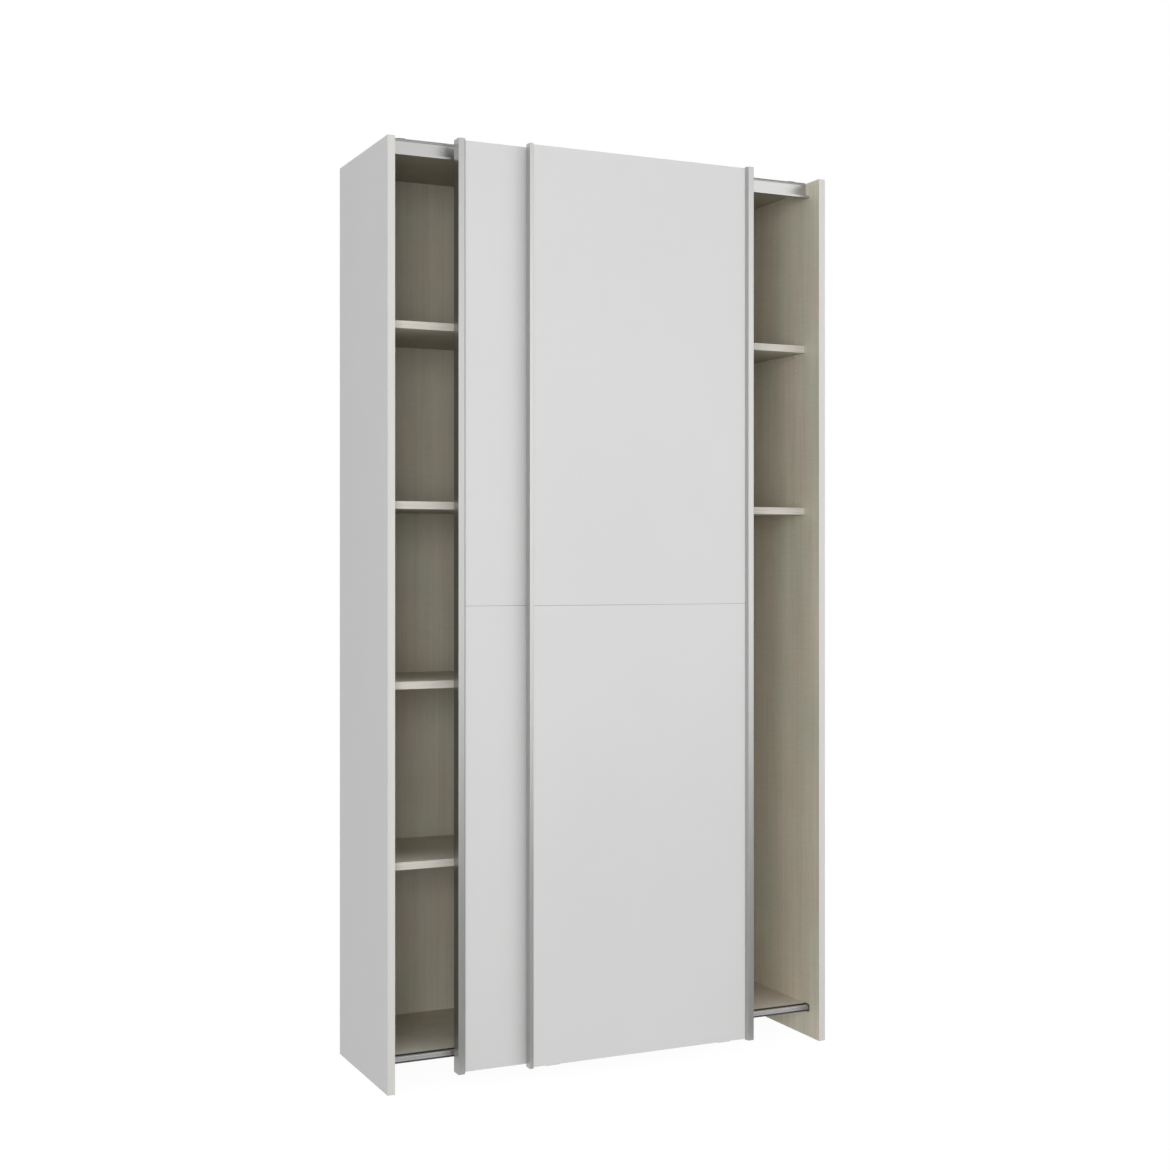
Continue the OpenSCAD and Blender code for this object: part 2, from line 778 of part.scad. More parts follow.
// Aluminium grip that wraps the outer edge, drawn with the edge at x = 0
module grip_section(back) {
    face = back - door_t;
    tip = face - grip_proud;
    corner = 1.2;
    foot = grip_w + grip_flank;
    difference() {
        polygon(concat(
            arc([0.6, back + grip_lip_t - 0.6], 0.6, 90, 180),
            arc([corner, tip + corner], corner, 180, 270),
            arc([grip_w - corner, tip + corner], corner, 270, 345),
            [[foot, face], [profile_t, face], [profile_t, back], [grip_lip, back]],
            [[grip_lip, back + grip_lip_t - 1], [grip_lip - 1, back + grip_lip_t]]));
        polygon([[profile_t, face - profile_t], [foot - 2 * profile_t, face - profile_t],
            [grip_w - profile_t, tip + profile_t], [profile_t, tip + profile_t]]);
    }
}

// Slim profile on the inner edge
module slim_section(back) {
    face = back - door_t;
    difference() {
        polygon(concat(
            arc([0.6, back + profile_t - 0.6], 0.6, 90, 180),
            arc([0.6, face - profile_t + 0.6], 0.6, 180, 270),
            [[slim_lip, face - profile_t], [slim_lip, back + profile_t]]));
        box2([profile_t, face], [slim_lip + over, back]);
    }
}

module upright_profile(x, flip) {
    translate([x, 0, profile_foot]) mirror([flip, 0, 0])
        linear_extrude(profile_top - profile_foot) children();
}

// Wheel with a groove that rides on the rib
module wheel(x, y, z) {
    groove_r = rib_w / 2 + 0.3;
    rim_r = wheel_r + wheel_rim;
    hub_t = 1.8;
    rim_t = 1.4;
    dish = 0.6;
    translate([x, y, z]) rotate([90, 0, 0]) rotate_extrude($fn = 64) difference() {
        box2([axle_d / 2 + fit, -wheel_w / 2], [rim_r, wheel_w / 2]);
        translate([wheel_r - roll_gap + groove_r, 0]) circle(groove_r);
        for (s = [-1, 1]) box2([axle_d / 2 + hub_t, s * wheel_w / 2 - dish],
            [wheel_r - rim_t, s * wheel_w / 2 + dish]);
    }
}

// Riveted axle: head in front of the hanger's upright, collar, shank and end cap
module axle(x, upright_y, track_y, z) {
    end_y = track_y + wheel_w / 2 + cap_gap;
    to_front([x, upright_y - plate_t, z]) {
        translate([0, 0, -head_t]) cylinder(h = head_t, d = collar_d);
        cylinder(h = end_y - upright_y + plate_t + head_t, d = axle_d);
        translate([0, 0, plate_t])
            cylinder(h = track_y - wheel_w / 2 - cap_gap - upright_y, d = collar_d);
        translate([0, 0, end_y - upright_y + plate_t]) cylinder(h = head_t, d = collar_d - 0.5);
    }
}

// Rear door: bent plate that reaches back over the lip of the lower track
module rear_hanger(xc) {
    y0 = rd_back;
    color(steel) difference() {
        union() {
            along_x(xc, hanger_w) box2([y0, rear_arm_z - hanger_h], [y0 + plate_t, rear_arm_z - bend_r]);
            along_x(xc, arm_w) {
                bend2([y0 + plate_t + bend_r, rear_arm_z - bend_r], -1, 1);
                box2([y0 + plate_t + bend_r, rear_arm_z],
                    [rear_upright_y - plate_t - bend_r, rear_arm_z + plate_t]);
                bend2([rear_upright_y - plate_t - bend_r, rear_arm_z - bend_r], 1, 1);
                box2([rear_upright_y - plate_t, rear_wheel_z - upright_over],
                    [rear_upright_y, rear_arm_z - bend_r]);
            }
        }
        door_screw_set(rear_screws(), rd_back, fit);
        axle_bore(xc, rear_upright_y, rear_wheel_z);
    }
}

// Front door: bent plate that crosses over the rear door and turns up beside the upper track
module front_hanger(xc) {
    y0 = fd_back;
    color(steel) difference() {
        union() {
            along_x(xc, hanger_w) box2([y0, front_arm_z - hanger_h], [y0 + plate_t, front_arm_z - bend_r]);
            along_x(xc, arm_w) {
                bend2([y0 + plate_t + bend_r, front_arm_z - bend_r], -1, 1);
                box2([y0 + plate_t + bend_r, front_arm_z],
                    [front_upright_y - plate_t - bend_r, front_arm_z + plate_t]);
                bend2([front_upright_y - plate_t - bend_r, front_arm_z + plate_t + bend_r], 1, -1);
                box2([front_upright_y - plate_t, front_arm_z + plate_t + bend_r],
                    [front_upright_y, front_wheel_z + upright_over]);
            }
        }
        door_screw_set(front_screws(), fd_back, fit);
        axle_bore(xc, front_upright_y, front_wheel_z);
    }
}

module axle_bore(xc, upright_y, z) {
    translate([xc, upright_y + over, z]) rotate([90, 0, 0])
        cylinder(h = plate_t + 2 * over, d = axle_d + 2 * fit);
}

module rear_upper_board() {
    color(white) door_board(rear_x, rd_back, door_mid + seam_t / 2, cab_h, rear_screws());
}

module rear_lower_board() {
    color(white) door_board(rear_x, rd_back, door_foot, door_mid - seam_t / 2, rear_screws());
}

module rear_joint_strip() {
    color(alu) joint_strip(rear_x, rd_back, grip_lip, slim_lip, rear_screws());
}

module rear_grip_profile() {
    color(alu) upright_profile(rear_x, 0) grip_section(rd_back);
}

module rear_edge_profile() {
    color(alu) upright_profile(rear_x + door_w, 1) slim_section(rd_back);
}

module rear_left_hanger() { rear_hanger(hanger_x(rear_x)[0]); }
module rear_right_hanger() { rear_hanger(hanger_x(rear_x)[1]); }

module rear_left_wheel() {
    color(nylon) wheel(hanger_x(rear_x)[0], rear_track_y, rear_wheel_z);
}

module rear_right_wheel() {
    color(nylon) wheel(hanger_x(rear_x)[1], rear_track_y, rear_wheel_z);
}

module rear_axles() {
    color(steel) for (x = hanger_x(rear_x)) axle(x, rear_upright_y, rear_track_y, rear_wheel_z);
}

// Angle on the rear door's back, its arm reaches over the bottom rail's rear groove
module rear_guide_brackets() {
    y0 = rd_back;
    z = rear_guide_z;
    color(steel) for (xc = hanger_x(rear_x)) difference() {
        union() {
            along_x(xc, guide_plate_w)
                box2([y0, z + plate_t + bend_r], [y0 + plate_t, z + guide_plate_h]);
            along_x(xc, guide_w) {
                bend2([y0 + plate_t + bend_r, z + plate_t + bend_r], -1, -1);
                box2([y0 + plate_t + bend_r, z], [rear_groove_y + rear_slider_t / 2, z + plate_t]);
            }
        }
        door_screw_set(rear_screws(), rd_back, fit);
        for (s = [-1, 1]) translate([xc + s * guide_w / 4, rear_groove_y, z + plate_t])
            csk(guide_screw_d, guide_screw_head, guide_screw_head_h, guide_screw_len, fit);
    }
}

// Nylon tongue in the groove
module rear_guide_sliders() {
    color(nylon) for (xc = hanger_x(rear_x)) difference() {
        slab([xc - guide_w / 2, rear_groove_y - rear_slider_t / 2, rear_slider_foot],
            [xc + guide_w / 2, rear_groove_y + rear_slider_t / 2, rear_guide_z]);
        for (s = [-1, 1]) translate([xc + s * guide_w / 4, rear_groove_y, rear_guide_z])
            bore(guide_screw_d, guide_screw_len - plate_t);
    }
}

module rear_door_screws() {
    color(steel) {
        door_screw_set(rear_screws(), rd_back);
        for (xc = hanger_x(rear_x), s = [-1, 1])
            translate([xc + s * guide_w / 4, rear_groove_y, rear_guide_z + plate_t])
                csk(guide_screw_d, guide_screw_head, guide_screw_head_h, guide_screw_len);
    }
}

// Rubber blocks on the rear door's back, they meet the left panel's inner face
module rear_door_buffers() {
    color(black_rubber) for (z = buffer_z) translate([rear_x + buffer_in, rd_back, z]) cube(buffer);
}

module front_upper_board() {
    color(white) door_board(front_x, fd_back, door_mid + seam_t / 2, cab_h, front_screws());
}

module front_lower_board() {
    color(white) door_board(front_x, fd_back, door_foot, door_mid - seam_t / 2, front_screws());
}

module front_joint_strip() {
    color(alu) joint_strip(front_x, fd_back, slim_lip, grip_lip, front_screws());
}

module front_grip_profile() {
    color(alu) upright_profile(front_x + door_w, 1) grip_section(fd_back);
}

module front_edge_profile() {
    color(alu) upright_profile(front_x, 0) slim_section(fd_back);
}

module front_left_hanger() { front_hanger(hanger_x(front_x)[0]); }
module front_right_hanger() { front_hanger(hanger_x(front_x)[1]); }

module front_left_wheel() {
    color(nylon) wheel(hanger_x(front_x)[0], front_track_y, front_wheel_z);
}

module front_right_wheel() {
    color(nylon) wheel(hanger_x(front_x)[1], front_track_y, front_wheel_z);
}

module front_axles() {
    color(steel) for (x = hanger_x(front_x)) axle(x, front_upright_y, front_track_y, front_wheel_z);
}

// Bent plate that passes under the rear door and turns up into the bottom rail's front groove
module front_guide_brackets() {
    y0 = fd_back;
    z = front_guide_z;
    yu = front_groove_y + plate_t / 2;
    color(steel) for (xc = hanger_x(front_x)) difference() {
        union() {
            along_x(xc, guide_plate_w)
                box2([y0, z + plate_t + bend_r], [y0 + plate_t, z + guide_plate_h + screw_inset]);
            along_x(xc, guide_w) {
                bend2([y0 + plate_t + bend_r, z + plate_t + bend_r], -1, -1);
                box2([y0 + plate_t + bend_r, z], [yu - plate_t - bend_r, z + plate_t]);
                bend2([yu - plate_t - bend_r, z + plate_t + bend_r], 1, -1);
                box2([yu - plate_t, z + plate_t + bend_r], [yu, front_upright_top]);
            }
        }
        door_screw_set(front_screws(), fd_back, fit);
    }
}

// Nylon shoe clipped over the bracket's upright
module front_guide_sliders() {
    color(nylon) for (xc = hanger_x(front_x)) difference() {
        slab([xc - guide_w / 2 - shoe_wall, front_groove_y - shoe_t / 2, shoe_foot],
            [xc + guide_w / 2 + shoe_wall, front_groove_y + shoe_t / 2, shoe_top]);
        slab([xc - guide_w / 2 - fit, front_groove_y - plate_t / 2 - fit, shoe_foot - over],
            [xc + guide_w / 2 + fit, front_groove_y + plate_t / 2 + fit, front_upright_top + fit]);
    }
}

module front_door_screws() {
    color(steel) door_screw_set(front_screws(), fd_back);
}

left_side_panel();
right_side_panel();
top_panel();
bottom_panel();
partition_panel();
centre_foot();
back_panel_left();
back_panel_right();
left_shelf_1();
left_shelf_2();
left_shelf_3();
left_shelf_4();
right_shelf_1();
right_shelf_2();
shelf_pins_left();
shelf_pins_right();
top_rail();
bottom_rail();
top_rail_screws();
bottom_rail_screws();
rail_dust_seal();
bottom_rail_caps();
rail_stops();
cam_housings();
cam_bolts();
wood_dowels();
partition_screws();
back_panel_nails();
wall_brackets();
wall_bracket_screws();
rear_upper_board();
rear_lower_board();
rear_joint_strip();
rear_grip_profile();
rear_edge_profile();
rear_left_hanger();
rear_right_hanger();
rear_left_wheel();
rear_right_wheel();
rear_axles();
rear_guide_brackets();
rear_guide_sliders();
rear_door_screws();
rear_door_buffers();
front_upper_board();
front_lower_board();
front_joint_strip();
front_grip_profile();
front_edge_profile();
front_left_hanger();
front_right_hanger();
front_left_wheel();
front_right_wheel();
front_axles();
front_guide_brackets();
front_guide_sliders();
front_door_screws();
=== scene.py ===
import math
import bmesh
import bpy
from mathutils import Matrix, Vector


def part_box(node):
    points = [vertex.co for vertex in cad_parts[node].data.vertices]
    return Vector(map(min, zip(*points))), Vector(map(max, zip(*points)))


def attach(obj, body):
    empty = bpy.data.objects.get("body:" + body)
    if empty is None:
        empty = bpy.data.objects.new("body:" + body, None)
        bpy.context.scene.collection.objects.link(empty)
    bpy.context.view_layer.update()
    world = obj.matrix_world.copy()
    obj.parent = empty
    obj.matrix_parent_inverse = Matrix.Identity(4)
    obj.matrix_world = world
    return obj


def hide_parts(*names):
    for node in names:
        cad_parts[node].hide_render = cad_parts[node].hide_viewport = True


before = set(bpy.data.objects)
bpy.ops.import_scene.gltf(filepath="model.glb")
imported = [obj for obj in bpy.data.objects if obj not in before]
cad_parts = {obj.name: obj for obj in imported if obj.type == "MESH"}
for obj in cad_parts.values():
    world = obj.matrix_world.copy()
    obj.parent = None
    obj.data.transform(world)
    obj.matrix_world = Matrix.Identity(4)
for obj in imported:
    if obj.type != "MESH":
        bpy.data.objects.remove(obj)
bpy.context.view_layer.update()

# Camera
# The photo was taken level, at about a person's chest height, from the left of the cupboard.
# Its place and lens come from the two vanishing points of the straight edges.
PHOTO_SIDE = 1170
FOCAL_PIXELS = 1714
HORIZON_ROW = 566
SENSOR = 36.0
CAMERA_PLACE = (-1.5369, -3.2783, 1.0195)
CAMERA_YAW = math.radians(-25.0)
FARTHEST_SEEN = 60.0

camera_data = bpy.data.cameras.new("photo_camera")
camera_data.sensor_width = SENSOR
camera_data.lens = FOCAL_PIXELS / PHOTO_SIDE * SENSOR
camera_data.shift_y = (HORIZON_ROW - PHOTO_SIDE / 2) / PHOTO_SIDE
camera_data.clip_end = FARTHEST_SEEN
camera = bpy.data.objects.new("photo_camera", camera_data)
camera.location = CAMERA_PLACE
camera.rotation_euler = (math.pi / 2, 0.0, CAMERA_YAW)
bpy.context.scene.collection.objects.link(camera)
bpy.context.scene.camera = camera
bpy.context.scene.view_settings.view_transform = "Standard"

# Floor and studio light
# A pale floor without an edge in view, a soft white surround, and two large soft lamps in front of
# the cupboard. The surround and the floor show white behind the object, and keep its shadow.
SURROUND_LIGHT = 0.43
FLOOR_HALF = 14.0
FLOOR_TONE = (0.85, 0.85, 0.85, 1.0)
FLOOR_SHADOW = 0.10
LIGHT_ON_OPEN_FLOOR = 0.98
FLOOR_GLOW = 1.0 - LIGHT_ON_OPEN_FLOOR * FLOOR_SHADOW * SURROUND_LIGHT
STUDIO_WHITE = (1.0, 1.0, 1.0, 1.0)
LAMP_AIM = Vector((0.0, 0.0, 0.7))
LEFT_LAMP_SIZE = 3.2
LEFT_LAMP_POWER = 142.0
LEFT_LAMP_PLACE = Vector((-3.12, -5.17, 1.2))
RIGHT_LAMP_SIZE = 4.0
RIGHT_LAMP_POWER = 65.0
RIGHT_LAMP_PLACE = Vector((3.2, -4.8, 1.4))


def seen_directly(tree):
    """1 on rays from the camera, a mirror or a glass, and 0 on rays that carry light."""
    path = tree.nodes.new("ShaderNodeLightPath")
    either = tree.nodes.new("ShaderNodeMath")
    either.operation = "MAXIMUM"
    tree.links.new(path.outputs["Is Camera Ray"], either.inputs[0])
    tree.links.new(path.outputs["Is Glossy Ray"], either.inputs[1])
    all_three = tree.nodes.new("ShaderNodeMath")
    all_three.operation = "MAXIMUM"
    tree.links.new(either.outputs[0], all_three.inputs[0])
    tree.links.new(path.outputs["Is Transmission Ray"], all_three.inputs[1])
    return all_three.outputs[0]


def soft_lamp(name, size, power, place):
    """A square soft box that looks at the middle of the object."""
    data = bpy.data.lights.new(name, "AREA")
    data.shape = "SQUARE"
    data.size = size
    data.energy = power
    lamp = bpy.data.objects.new(name, data)
    lamp.location = place
    lamp.rotation_euler = (LAMP_AIM - place).to_track_quat("-Z", "Y").to_euler()
    bpy.context.scene.collection.objects.link(lamp)


world = bpy.data.worlds.new("studio")
bpy.context.scene.world = world
world.use_nodes = True
tree = world.node_tree
tree.nodes.clear()
lighting = tree.nodes.new("ShaderNodeBackground")
lighting.inputs["Color"].default_value = STUDIO_WHITE
lighting.inputs["Strength"].default_value = SURROUND_LIGHT
backdrop = tree.nodes.new("ShaderNodeBackground")
backdrop.inputs["Color"].default_value = STUDIO_WHITE
choose = tree.nodes.new("ShaderNodeMixShader")
tree.links.new(seen_directly(tree), choose.inputs["Fac"])
tree.links.new(lighting.outputs[0], choose.inputs[1])
tree.links.new(backdrop.outputs[0], choose.inputs[2])
out = tree.nodes.new("ShaderNodeOutputWorld")
tree.links.new(choose.outputs[0], out.inputs["Surface"])

floor_mesh = bpy.data.meshes.new("studio_floor")
corners = [(-FLOOR_HALF, -FLOOR_HALF, 0), (FLOOR_HALF, -FLOOR_HALF, 0),
           (FLOOR_HALF, FLOOR_HALF, 0), (-FLOOR_HALF, FLOOR_HALF, 0)]
floor_mesh.from_pydata(corners, [], [(0, 1, 2, 3)])
studio_floor = bpy.data.objects.new("studio_floor", floor_mesh)
bpy.context.scene.collection.objects.link(studio_floor)
floor_finish = bpy.data.materials.new("pale_floor")
floor_finish.use_nodes = True
tree = floor_finish.node_tree
tree.nodes.clear()
matt = tree.nodes.new("ShaderNodeBsdfDiffuse")
matt.inputs["Color"].default_value = FLOOR_TONE
shown = tree.nodes.new("ShaderNodeBsdfDiffuse")
shown.inputs["Color"].default_value = (FLOOR_SHADOW, FLOOR_SHADOW, FLOOR_SHADOW, 1.0)
glow = tree.nodes.new("ShaderNodeEmission")
glow.inputs["Strength"].default_value = FLOOR_GLOW
white = tree.nodes.new("ShaderNodeAddShader")
tree.links.new(shown.outputs[0], white.inputs[0])
tree.links.new(glow.outputs[0], white.inputs[1])
choose = tree.nodes.new("ShaderNodeMixShader")
tree.links.new(seen_directly(tree), choose.inputs["Fac"])
tree.links.new(matt.outputs[0], choose.inputs[1])
tree.links.new(white.outputs[0], choose.inputs[2])
out = tree.nodes.new("ShaderNodeOutputMaterial")
tree.links.new(choose.outputs[0], out.inputs["Surface"])
floor_mesh.materials.append(floor_finish)

soft_lamp("left_lamp", LEFT_LAMP_SIZE, LEFT_LAMP_POWER, LEFT_LAMP_PLACE)
soft_lamp("right_lamp", RIGHT_LAMP_SIZE, RIGHT_LAMP_POWER, RIGHT_LAMP_PLACE)

# Grey cards
# Three flat cards of matt grey board in a row on the floor in front of the cupboard. Only mirror
# rays meet them, so that the metal near the floor reflects something darker than the white studio.
CARD_LEFT, CARD_RIGHT = -1.0, 5.0
CARD_HEIGHT = 0.004
CARD_ROUGHNESS = 0.9
CARD_EDGES_AND_TONES = ((-0.28, -1.1, 0.97), (-1.1, -2.6, 0.74), (-2.6, -4.2, 0.78))

for far_edge, near_edge, tone in CARD_EDGES_AND_TONES:
    card_mesh = bpy.data.meshes.new("studio_card")
    corners = [(CARD_LEFT, near_edge, CARD_HEIGHT), (CARD_RIGHT, near_edge, CARD_HEIGHT),
               (CARD_RIGHT, far_edge, CARD_HEIGHT), (CARD_LEFT, far_edge, CARD_HEIGHT)]
    card_mesh.from_pydata(corners, [], [(0, 1, 2, 3)])
    studio_card = bpy.data.objects.new("studio_card", card_mesh)
    bpy.context.scene.collection.objects.link(studio_card)
    studio_card.visible_camera = False
    studio_card.visible_diffuse = False
    studio_card.visible_shadow = False
    card_finish = bpy.data.materials.new("grey_card")
    card_finish.use_nodes = True
    card_paint = card_finish.node_tree.nodes["Principled BSDF"]
    card_paint.inputs["Base Color"].default_value = (tone, tone, tone, 1.0)
    card_paint.inputs["Roughness"].default_value = CARD_ROUGHNESS
    card_mesh.materials.append(card_finish)

# Side panels
# Laminated chipboard, white outside and on the edges, with the printed linen pattern of the
# interior on the inner face. The edge bands are trimmed to a fine radius.
WHITE = (0.742, 0.742, 0.740, 1.0)
WHITE_CLOUD = 0.975
EDGE_BAND = (0.745, 0.735, 0.705, 1.0)
EDGE_BAND_DULL = (0.710, 0.700, 0.670, 1.0)
EDGE_RADIUS = 0.0005
EDGE_ANGLE = math.radians(50)
MERGE_DISTANCE = 0.00001
LINEN_DARK = (0.525, 0.49, 0.39)
LINEN_LIGHT = (0.79, 0.748, 0.635)
LINEN_WARM = (1.03, 0.985, 0.985)
LINEN_OLIVE = (0.97, 1.01, 0.99)
LINEN_SPAN = (0.28, 0.56)
THREAD = 0.0011
SLUB = 0.045
WEAVE_SHARE = 0.42
STREAKS_AND_CLOUDS = (((120.0, 120.0, 2.6), 3.0, 0.16), ((17.0, 17.0, 1.7), 2.0, 0.12),
                      ((7.0, 7.0, 4.0), 2.0, 0.14))
PATCHES = (11.0, 11.0, 5.0)
PATCH_SPAN = (0.36, 0.64)
# Painted light: the linen on the panels' inner faces is painted paler than the same linen on the
# boards, for the light that falls on these faces.
PANEL_LINEN_LIT = 1.20
PEARL_SHARE = 0.4
LINEN_RELIEF = 0.25
LINEN_HEIGHT = 0.0002
PANEL_INNER_FACE = abs(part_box("top_panel")[0][0])
FACE_MARGIN = 0.0002
MOSTLY = 0.7


def new_finish(name, roughness):
    """A material with one Principled shader: the material, its tree and the shader."""
    finish = bpy.data.materials.new(name)
    finish.use_nodes = True
    tree = finish.node_tree
    shader = tree.nodes["Principled BSDF"]
    shader.inputs["Roughness"].default_value = roughness
    return finish, tree, shader


def noise(tree, scale, detail=2.0, rough=0.5):
    """Noise on Object coordinates, scale is per metre along X, Y and Z."""
    place = tree.nodes.new("ShaderNodeTexCoord")
    stretch = tree.nodes.new("ShaderNodeMapping")
    stretch.inputs["Scale"].default_value = scale
    tree.links.new(place.outputs["Object"], stretch.inputs["Vector"])
    grain = tree.nodes.new("ShaderNodeTexNoise")
    grain.inputs["Scale"].default_value = 1.0
    grain.inputs["Detail"].default_value = detail
    grain.inputs["Roughness"].default_value = rough
    tree.links.new(stretch.outputs["Vector"], grain.inputs["Vector"])
    return grain.outputs["Fac"]


def ramp(tree, value, stops):
    """Colour ramp over value from one stop to another, each is (position, colour)."""
    node = tree.nodes.new("ShaderNodeValToRGB")
    for element, (position, colour) in zip(node.color_ramp.elements, stops):
        element.position = position
        element.color = colour
    tree.links.new(value, node.inputs["Fac"])
    return node.outputs["Color"]


def feed(tree, node, values):
    """Gives a node's inputs their values in order, each is a socket or a number."""
    for socket, value in zip(node.inputs, values):
        if isinstance(value, (int, float)):
            socket.default_value = value
        else:
            tree.links.new(value, socket)


def math_node(tree, operation, first, second=0.0):
    """Result of a Math node, each input is a socket or a number."""
    node = tree.nodes.new("ShaderNodeMath")
    node.operation = operation
    feed(tree, node, (first, second))
    return node.outputs[0]


def mix_colours(tree, share, first, second):
    """Blend of two colours, share is how much of the second shows."""
    node = tree.nodes.new("ShaderNodeMix")
    node.data_type = "RGBA"
    tree.links.new(share, node.inputs["Factor"])
    for name, value in (("A", first), ("B", second)):
        socket = [s for s in node.inputs if s.name == name and s.type == "RGBA"][0]
        tree.links.new(value, socket)
    return [s for s in node.outputs if s.type == "RGBA"][0]


def raise_bump(tree, shader, height, strength, distance):
    """Fine relief on the shader's normal."""
    bump = tree.nodes.new("ShaderNodeBump")
    bump.inputs["Strength"].default_value = strength
    bump.inputs["Distance"].default_value = distance
    tree.links.new(height, bump.inputs["Height"])
    tree.links.new(bump.outputs["Normal"], shader.inputs["Normal"])


def spot_on(tree):
    """X, Y and Z of the spot on the piece, in metres."""
    place = tree.nodes.new("ShaderNodeTexCoord")
    parts = tree.nodes.new("ShaderNodeSeparateXYZ")
    tree.links.new(place.outputs["Object"], parts.inputs[0])
    return parts.outputs


def facing(tree):
    """X, Y and Z of the direction that the flat surface faces."""
    surface = tree.nodes.new("ShaderNodeNewGeometry")
    parts = tree.nodes.new("ShaderNodeSeparateXYZ")
    tree.links.new(surface.outputs["True Normal"], parts.inputs[0])
    return parts.outputs


def linen_print(tree):
    """Printed linen: its tone, its patches of warm and olive, and its weave of slubby threads."""
    fine, long = 1.0 / THREAD, 1.0 / SLUB
    threads = [noise(tree, (long, fine, fine)), noise(tree, (fine, long, fine)),
               noise(tree, (fine, fine, long))]
    weave = math_node(tree, "ADD", math_node(tree, "ADD", threads[0], threads[1]), threads[2])
    weave = math_node(tree, "MULTIPLY", weave, 1.0 / len(threads))
    tone = math_node(tree, "MULTIPLY", weave, WEAVE_SHARE)
    for scale, detail, share in STREAKS_AND_CLOUDS:
        layer = math_node(tree, "MULTIPLY", noise(tree, scale, detail), share)
        tone = math_node(tree, "ADD", tone, layer)
    patches = ramp(tree, noise(tree, PATCHES), [
        (PATCH_SPAN[0], (0.0, 0.0, 0.0, 1.0)), (PATCH_SPAN[1], (1.0, 1.0, 1.0, 1.0))])
    return tone, patches, weave


def linen_colour(tree, tone, patches, strength=1.0, dark=LINEN_DARK, light=LINEN_LIGHT):
    """Colour of the linen from dark to light with its tone, warm and olive by its patches."""
    warm, olive = [
        ramp(tree, tone, [(place, tuple(c * t * strength for c, t in zip(colour, tint)) + (1.0,))
                          for place, colour in zip(LINEN_SPAN, (dark, light))])
        for tint in (LINEN_WARM, LINEN_OLIVE)]
    return mix_colours(tree, patches, warm, olive)


def white_laminate(tree):
    """White melamine: a trace of tone variation, and the pearl grain of the press plate."""
    cloud = noise(tree, (4.0, 4.0, 2.5), detail=3.0)
    darker = tuple(c * WHITE_CLOUD for c in WHITE[:3]) + (1.0,)
    colour = ramp(tree, cloud, [(0.3, darker), (0.7, WHITE)])
    return colour, noise(tree, (900.0, 900.0, 900.0))


def soften(obj):
    """Fine rounding of the sharp edges of a board or a moulding, over its merged corners."""
    weld = obj.modifiers.new("merge", "WELD")
    weld.merge_threshold = MERGE_DISTANCE
    bevel = obj.modifiers.new("edge_radius", "BEVEL")
    bevel.width = EDGE_RADIUS
    bevel.segments = 2
    bevel.limit_method = "ANGLE"
    bevel.angle_limit = EDGE_ANGLE
    bevel.use_clamp_overlap = True


def dress(name, finish, rounded=True):
    """Gives a carried-over piece its finish, and rounds its edges."""
    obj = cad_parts[name]
    for place in obj.material_slots:
        place.material = finish
    if rounded:
        soften(obj)


panel_finish, tree, shader = new_finish("panel_laminate", roughness=0.42)
white_colour, pearl = white_laminate(tree)
tone, patches, weave = linen_print(tree)
inner_colour = linen_colour(tree, tone, patches, PANEL_LINEN_LIT)
across = math_node(tree, "ABSOLUTE", spot_on(tree)["X"])
inside = math_node(tree, "LESS_THAN", across, PANEL_INNER_FACE + FACE_MARGIN)
edge = math_node(tree, "LESS_THAN", facing(tree)["Y"], -MOSTLY)
edge_grain = noise(tree, (900.0, 900.0, 12.0), detail=3.0)
edge_colour = ramp(tree, edge_grain, [(0.3, EDGE_BAND_DULL), (0.7, EDGE_BAND)])
outside_colour = mix_colours(tree, edge, white_colour, edge_colour)
tree.links.new(mix_colours(tree, inside, outside_colour, inner_colour), shader.inputs["Base Color"])
relief = math_node(tree, "ADD", math_node(tree, "MULTIPLY", pearl, PEARL_SHARE),
                   math_node(tree, "MULTIPLY", weave, inside))
raise_bump(tree, shader, relief, LINEN_RELIEF, LINEN_HEIGHT)
for name in ("left_side_panel", "right_side_panel"):
    dress(name, panel_finish)

# Boards inside
# Chipboard with the linen pattern on both faces, and with a lighter band along the front edge. The
# undersides are painted darker away from the front, a painted shade, and the tops are painted paler
# towards the front, painted light. Dowels, cams and screws hold the fixed boards, and pins carry the
# shelves.
BOARD_LINEN = 0.915
UNDERSIDE_SHADE = 0.60
# Painted light: the tops of the boards are painted paler towards the front, where more light falls.
LIT_FRONT_DARK = (0.82, 0.76, 0.68)
LIT_FRONT_LIGHT = (0.96, 0.905, 0.84)
LIT_FRONT_DEPTH = 0.18
BAND_LIGHT = (0.725, 0.695, 0.633, 1.0)
BAND_DARK = (0.585, 0.557, 0.497, 1.0)
BAND_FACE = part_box("top_panel")[0][1]
BAND_DEPTH = 0.0003

board_finish, tree, shader = new_finish("linen_laminate", roughness=0.5)
tone, patches, weave = linen_print(tree)
board_colour = linen_colour(tree, tone, patches, BOARD_LINEN)
shaded_underside_colour = linen_colour(tree, tone, patches, BOARD_LINEN * UNDERSIDE_SHADE)
lit_front_colour = linen_colour(tree, tone, patches, dark=LIT_FRONT_DARK, light=LIT_FRONT_LIGHT)
band_grain = noise(tree, (12.0, 900.0, 900.0), detail=3.0)
band_colour = ramp(tree, band_grain, [(0.3, BAND_DARK), (0.62, BAND_LIGHT)])
depth = math_node(tree, "SUBTRACT", spot_on(tree)["Y"], BAND_FACE)
banded = math_node(tree, "LESS_THAN", depth, BAND_DEPTH)
share_of_depth = math_node(tree, "MINIMUM", math_node(tree, "DIVIDE", depth, LIT_FRONT_DEPTH), 1.0)
nearness = math_node(tree, "POWER", math_node(tree, "SUBTRACT", 1.0, share_of_depth), 2.0)
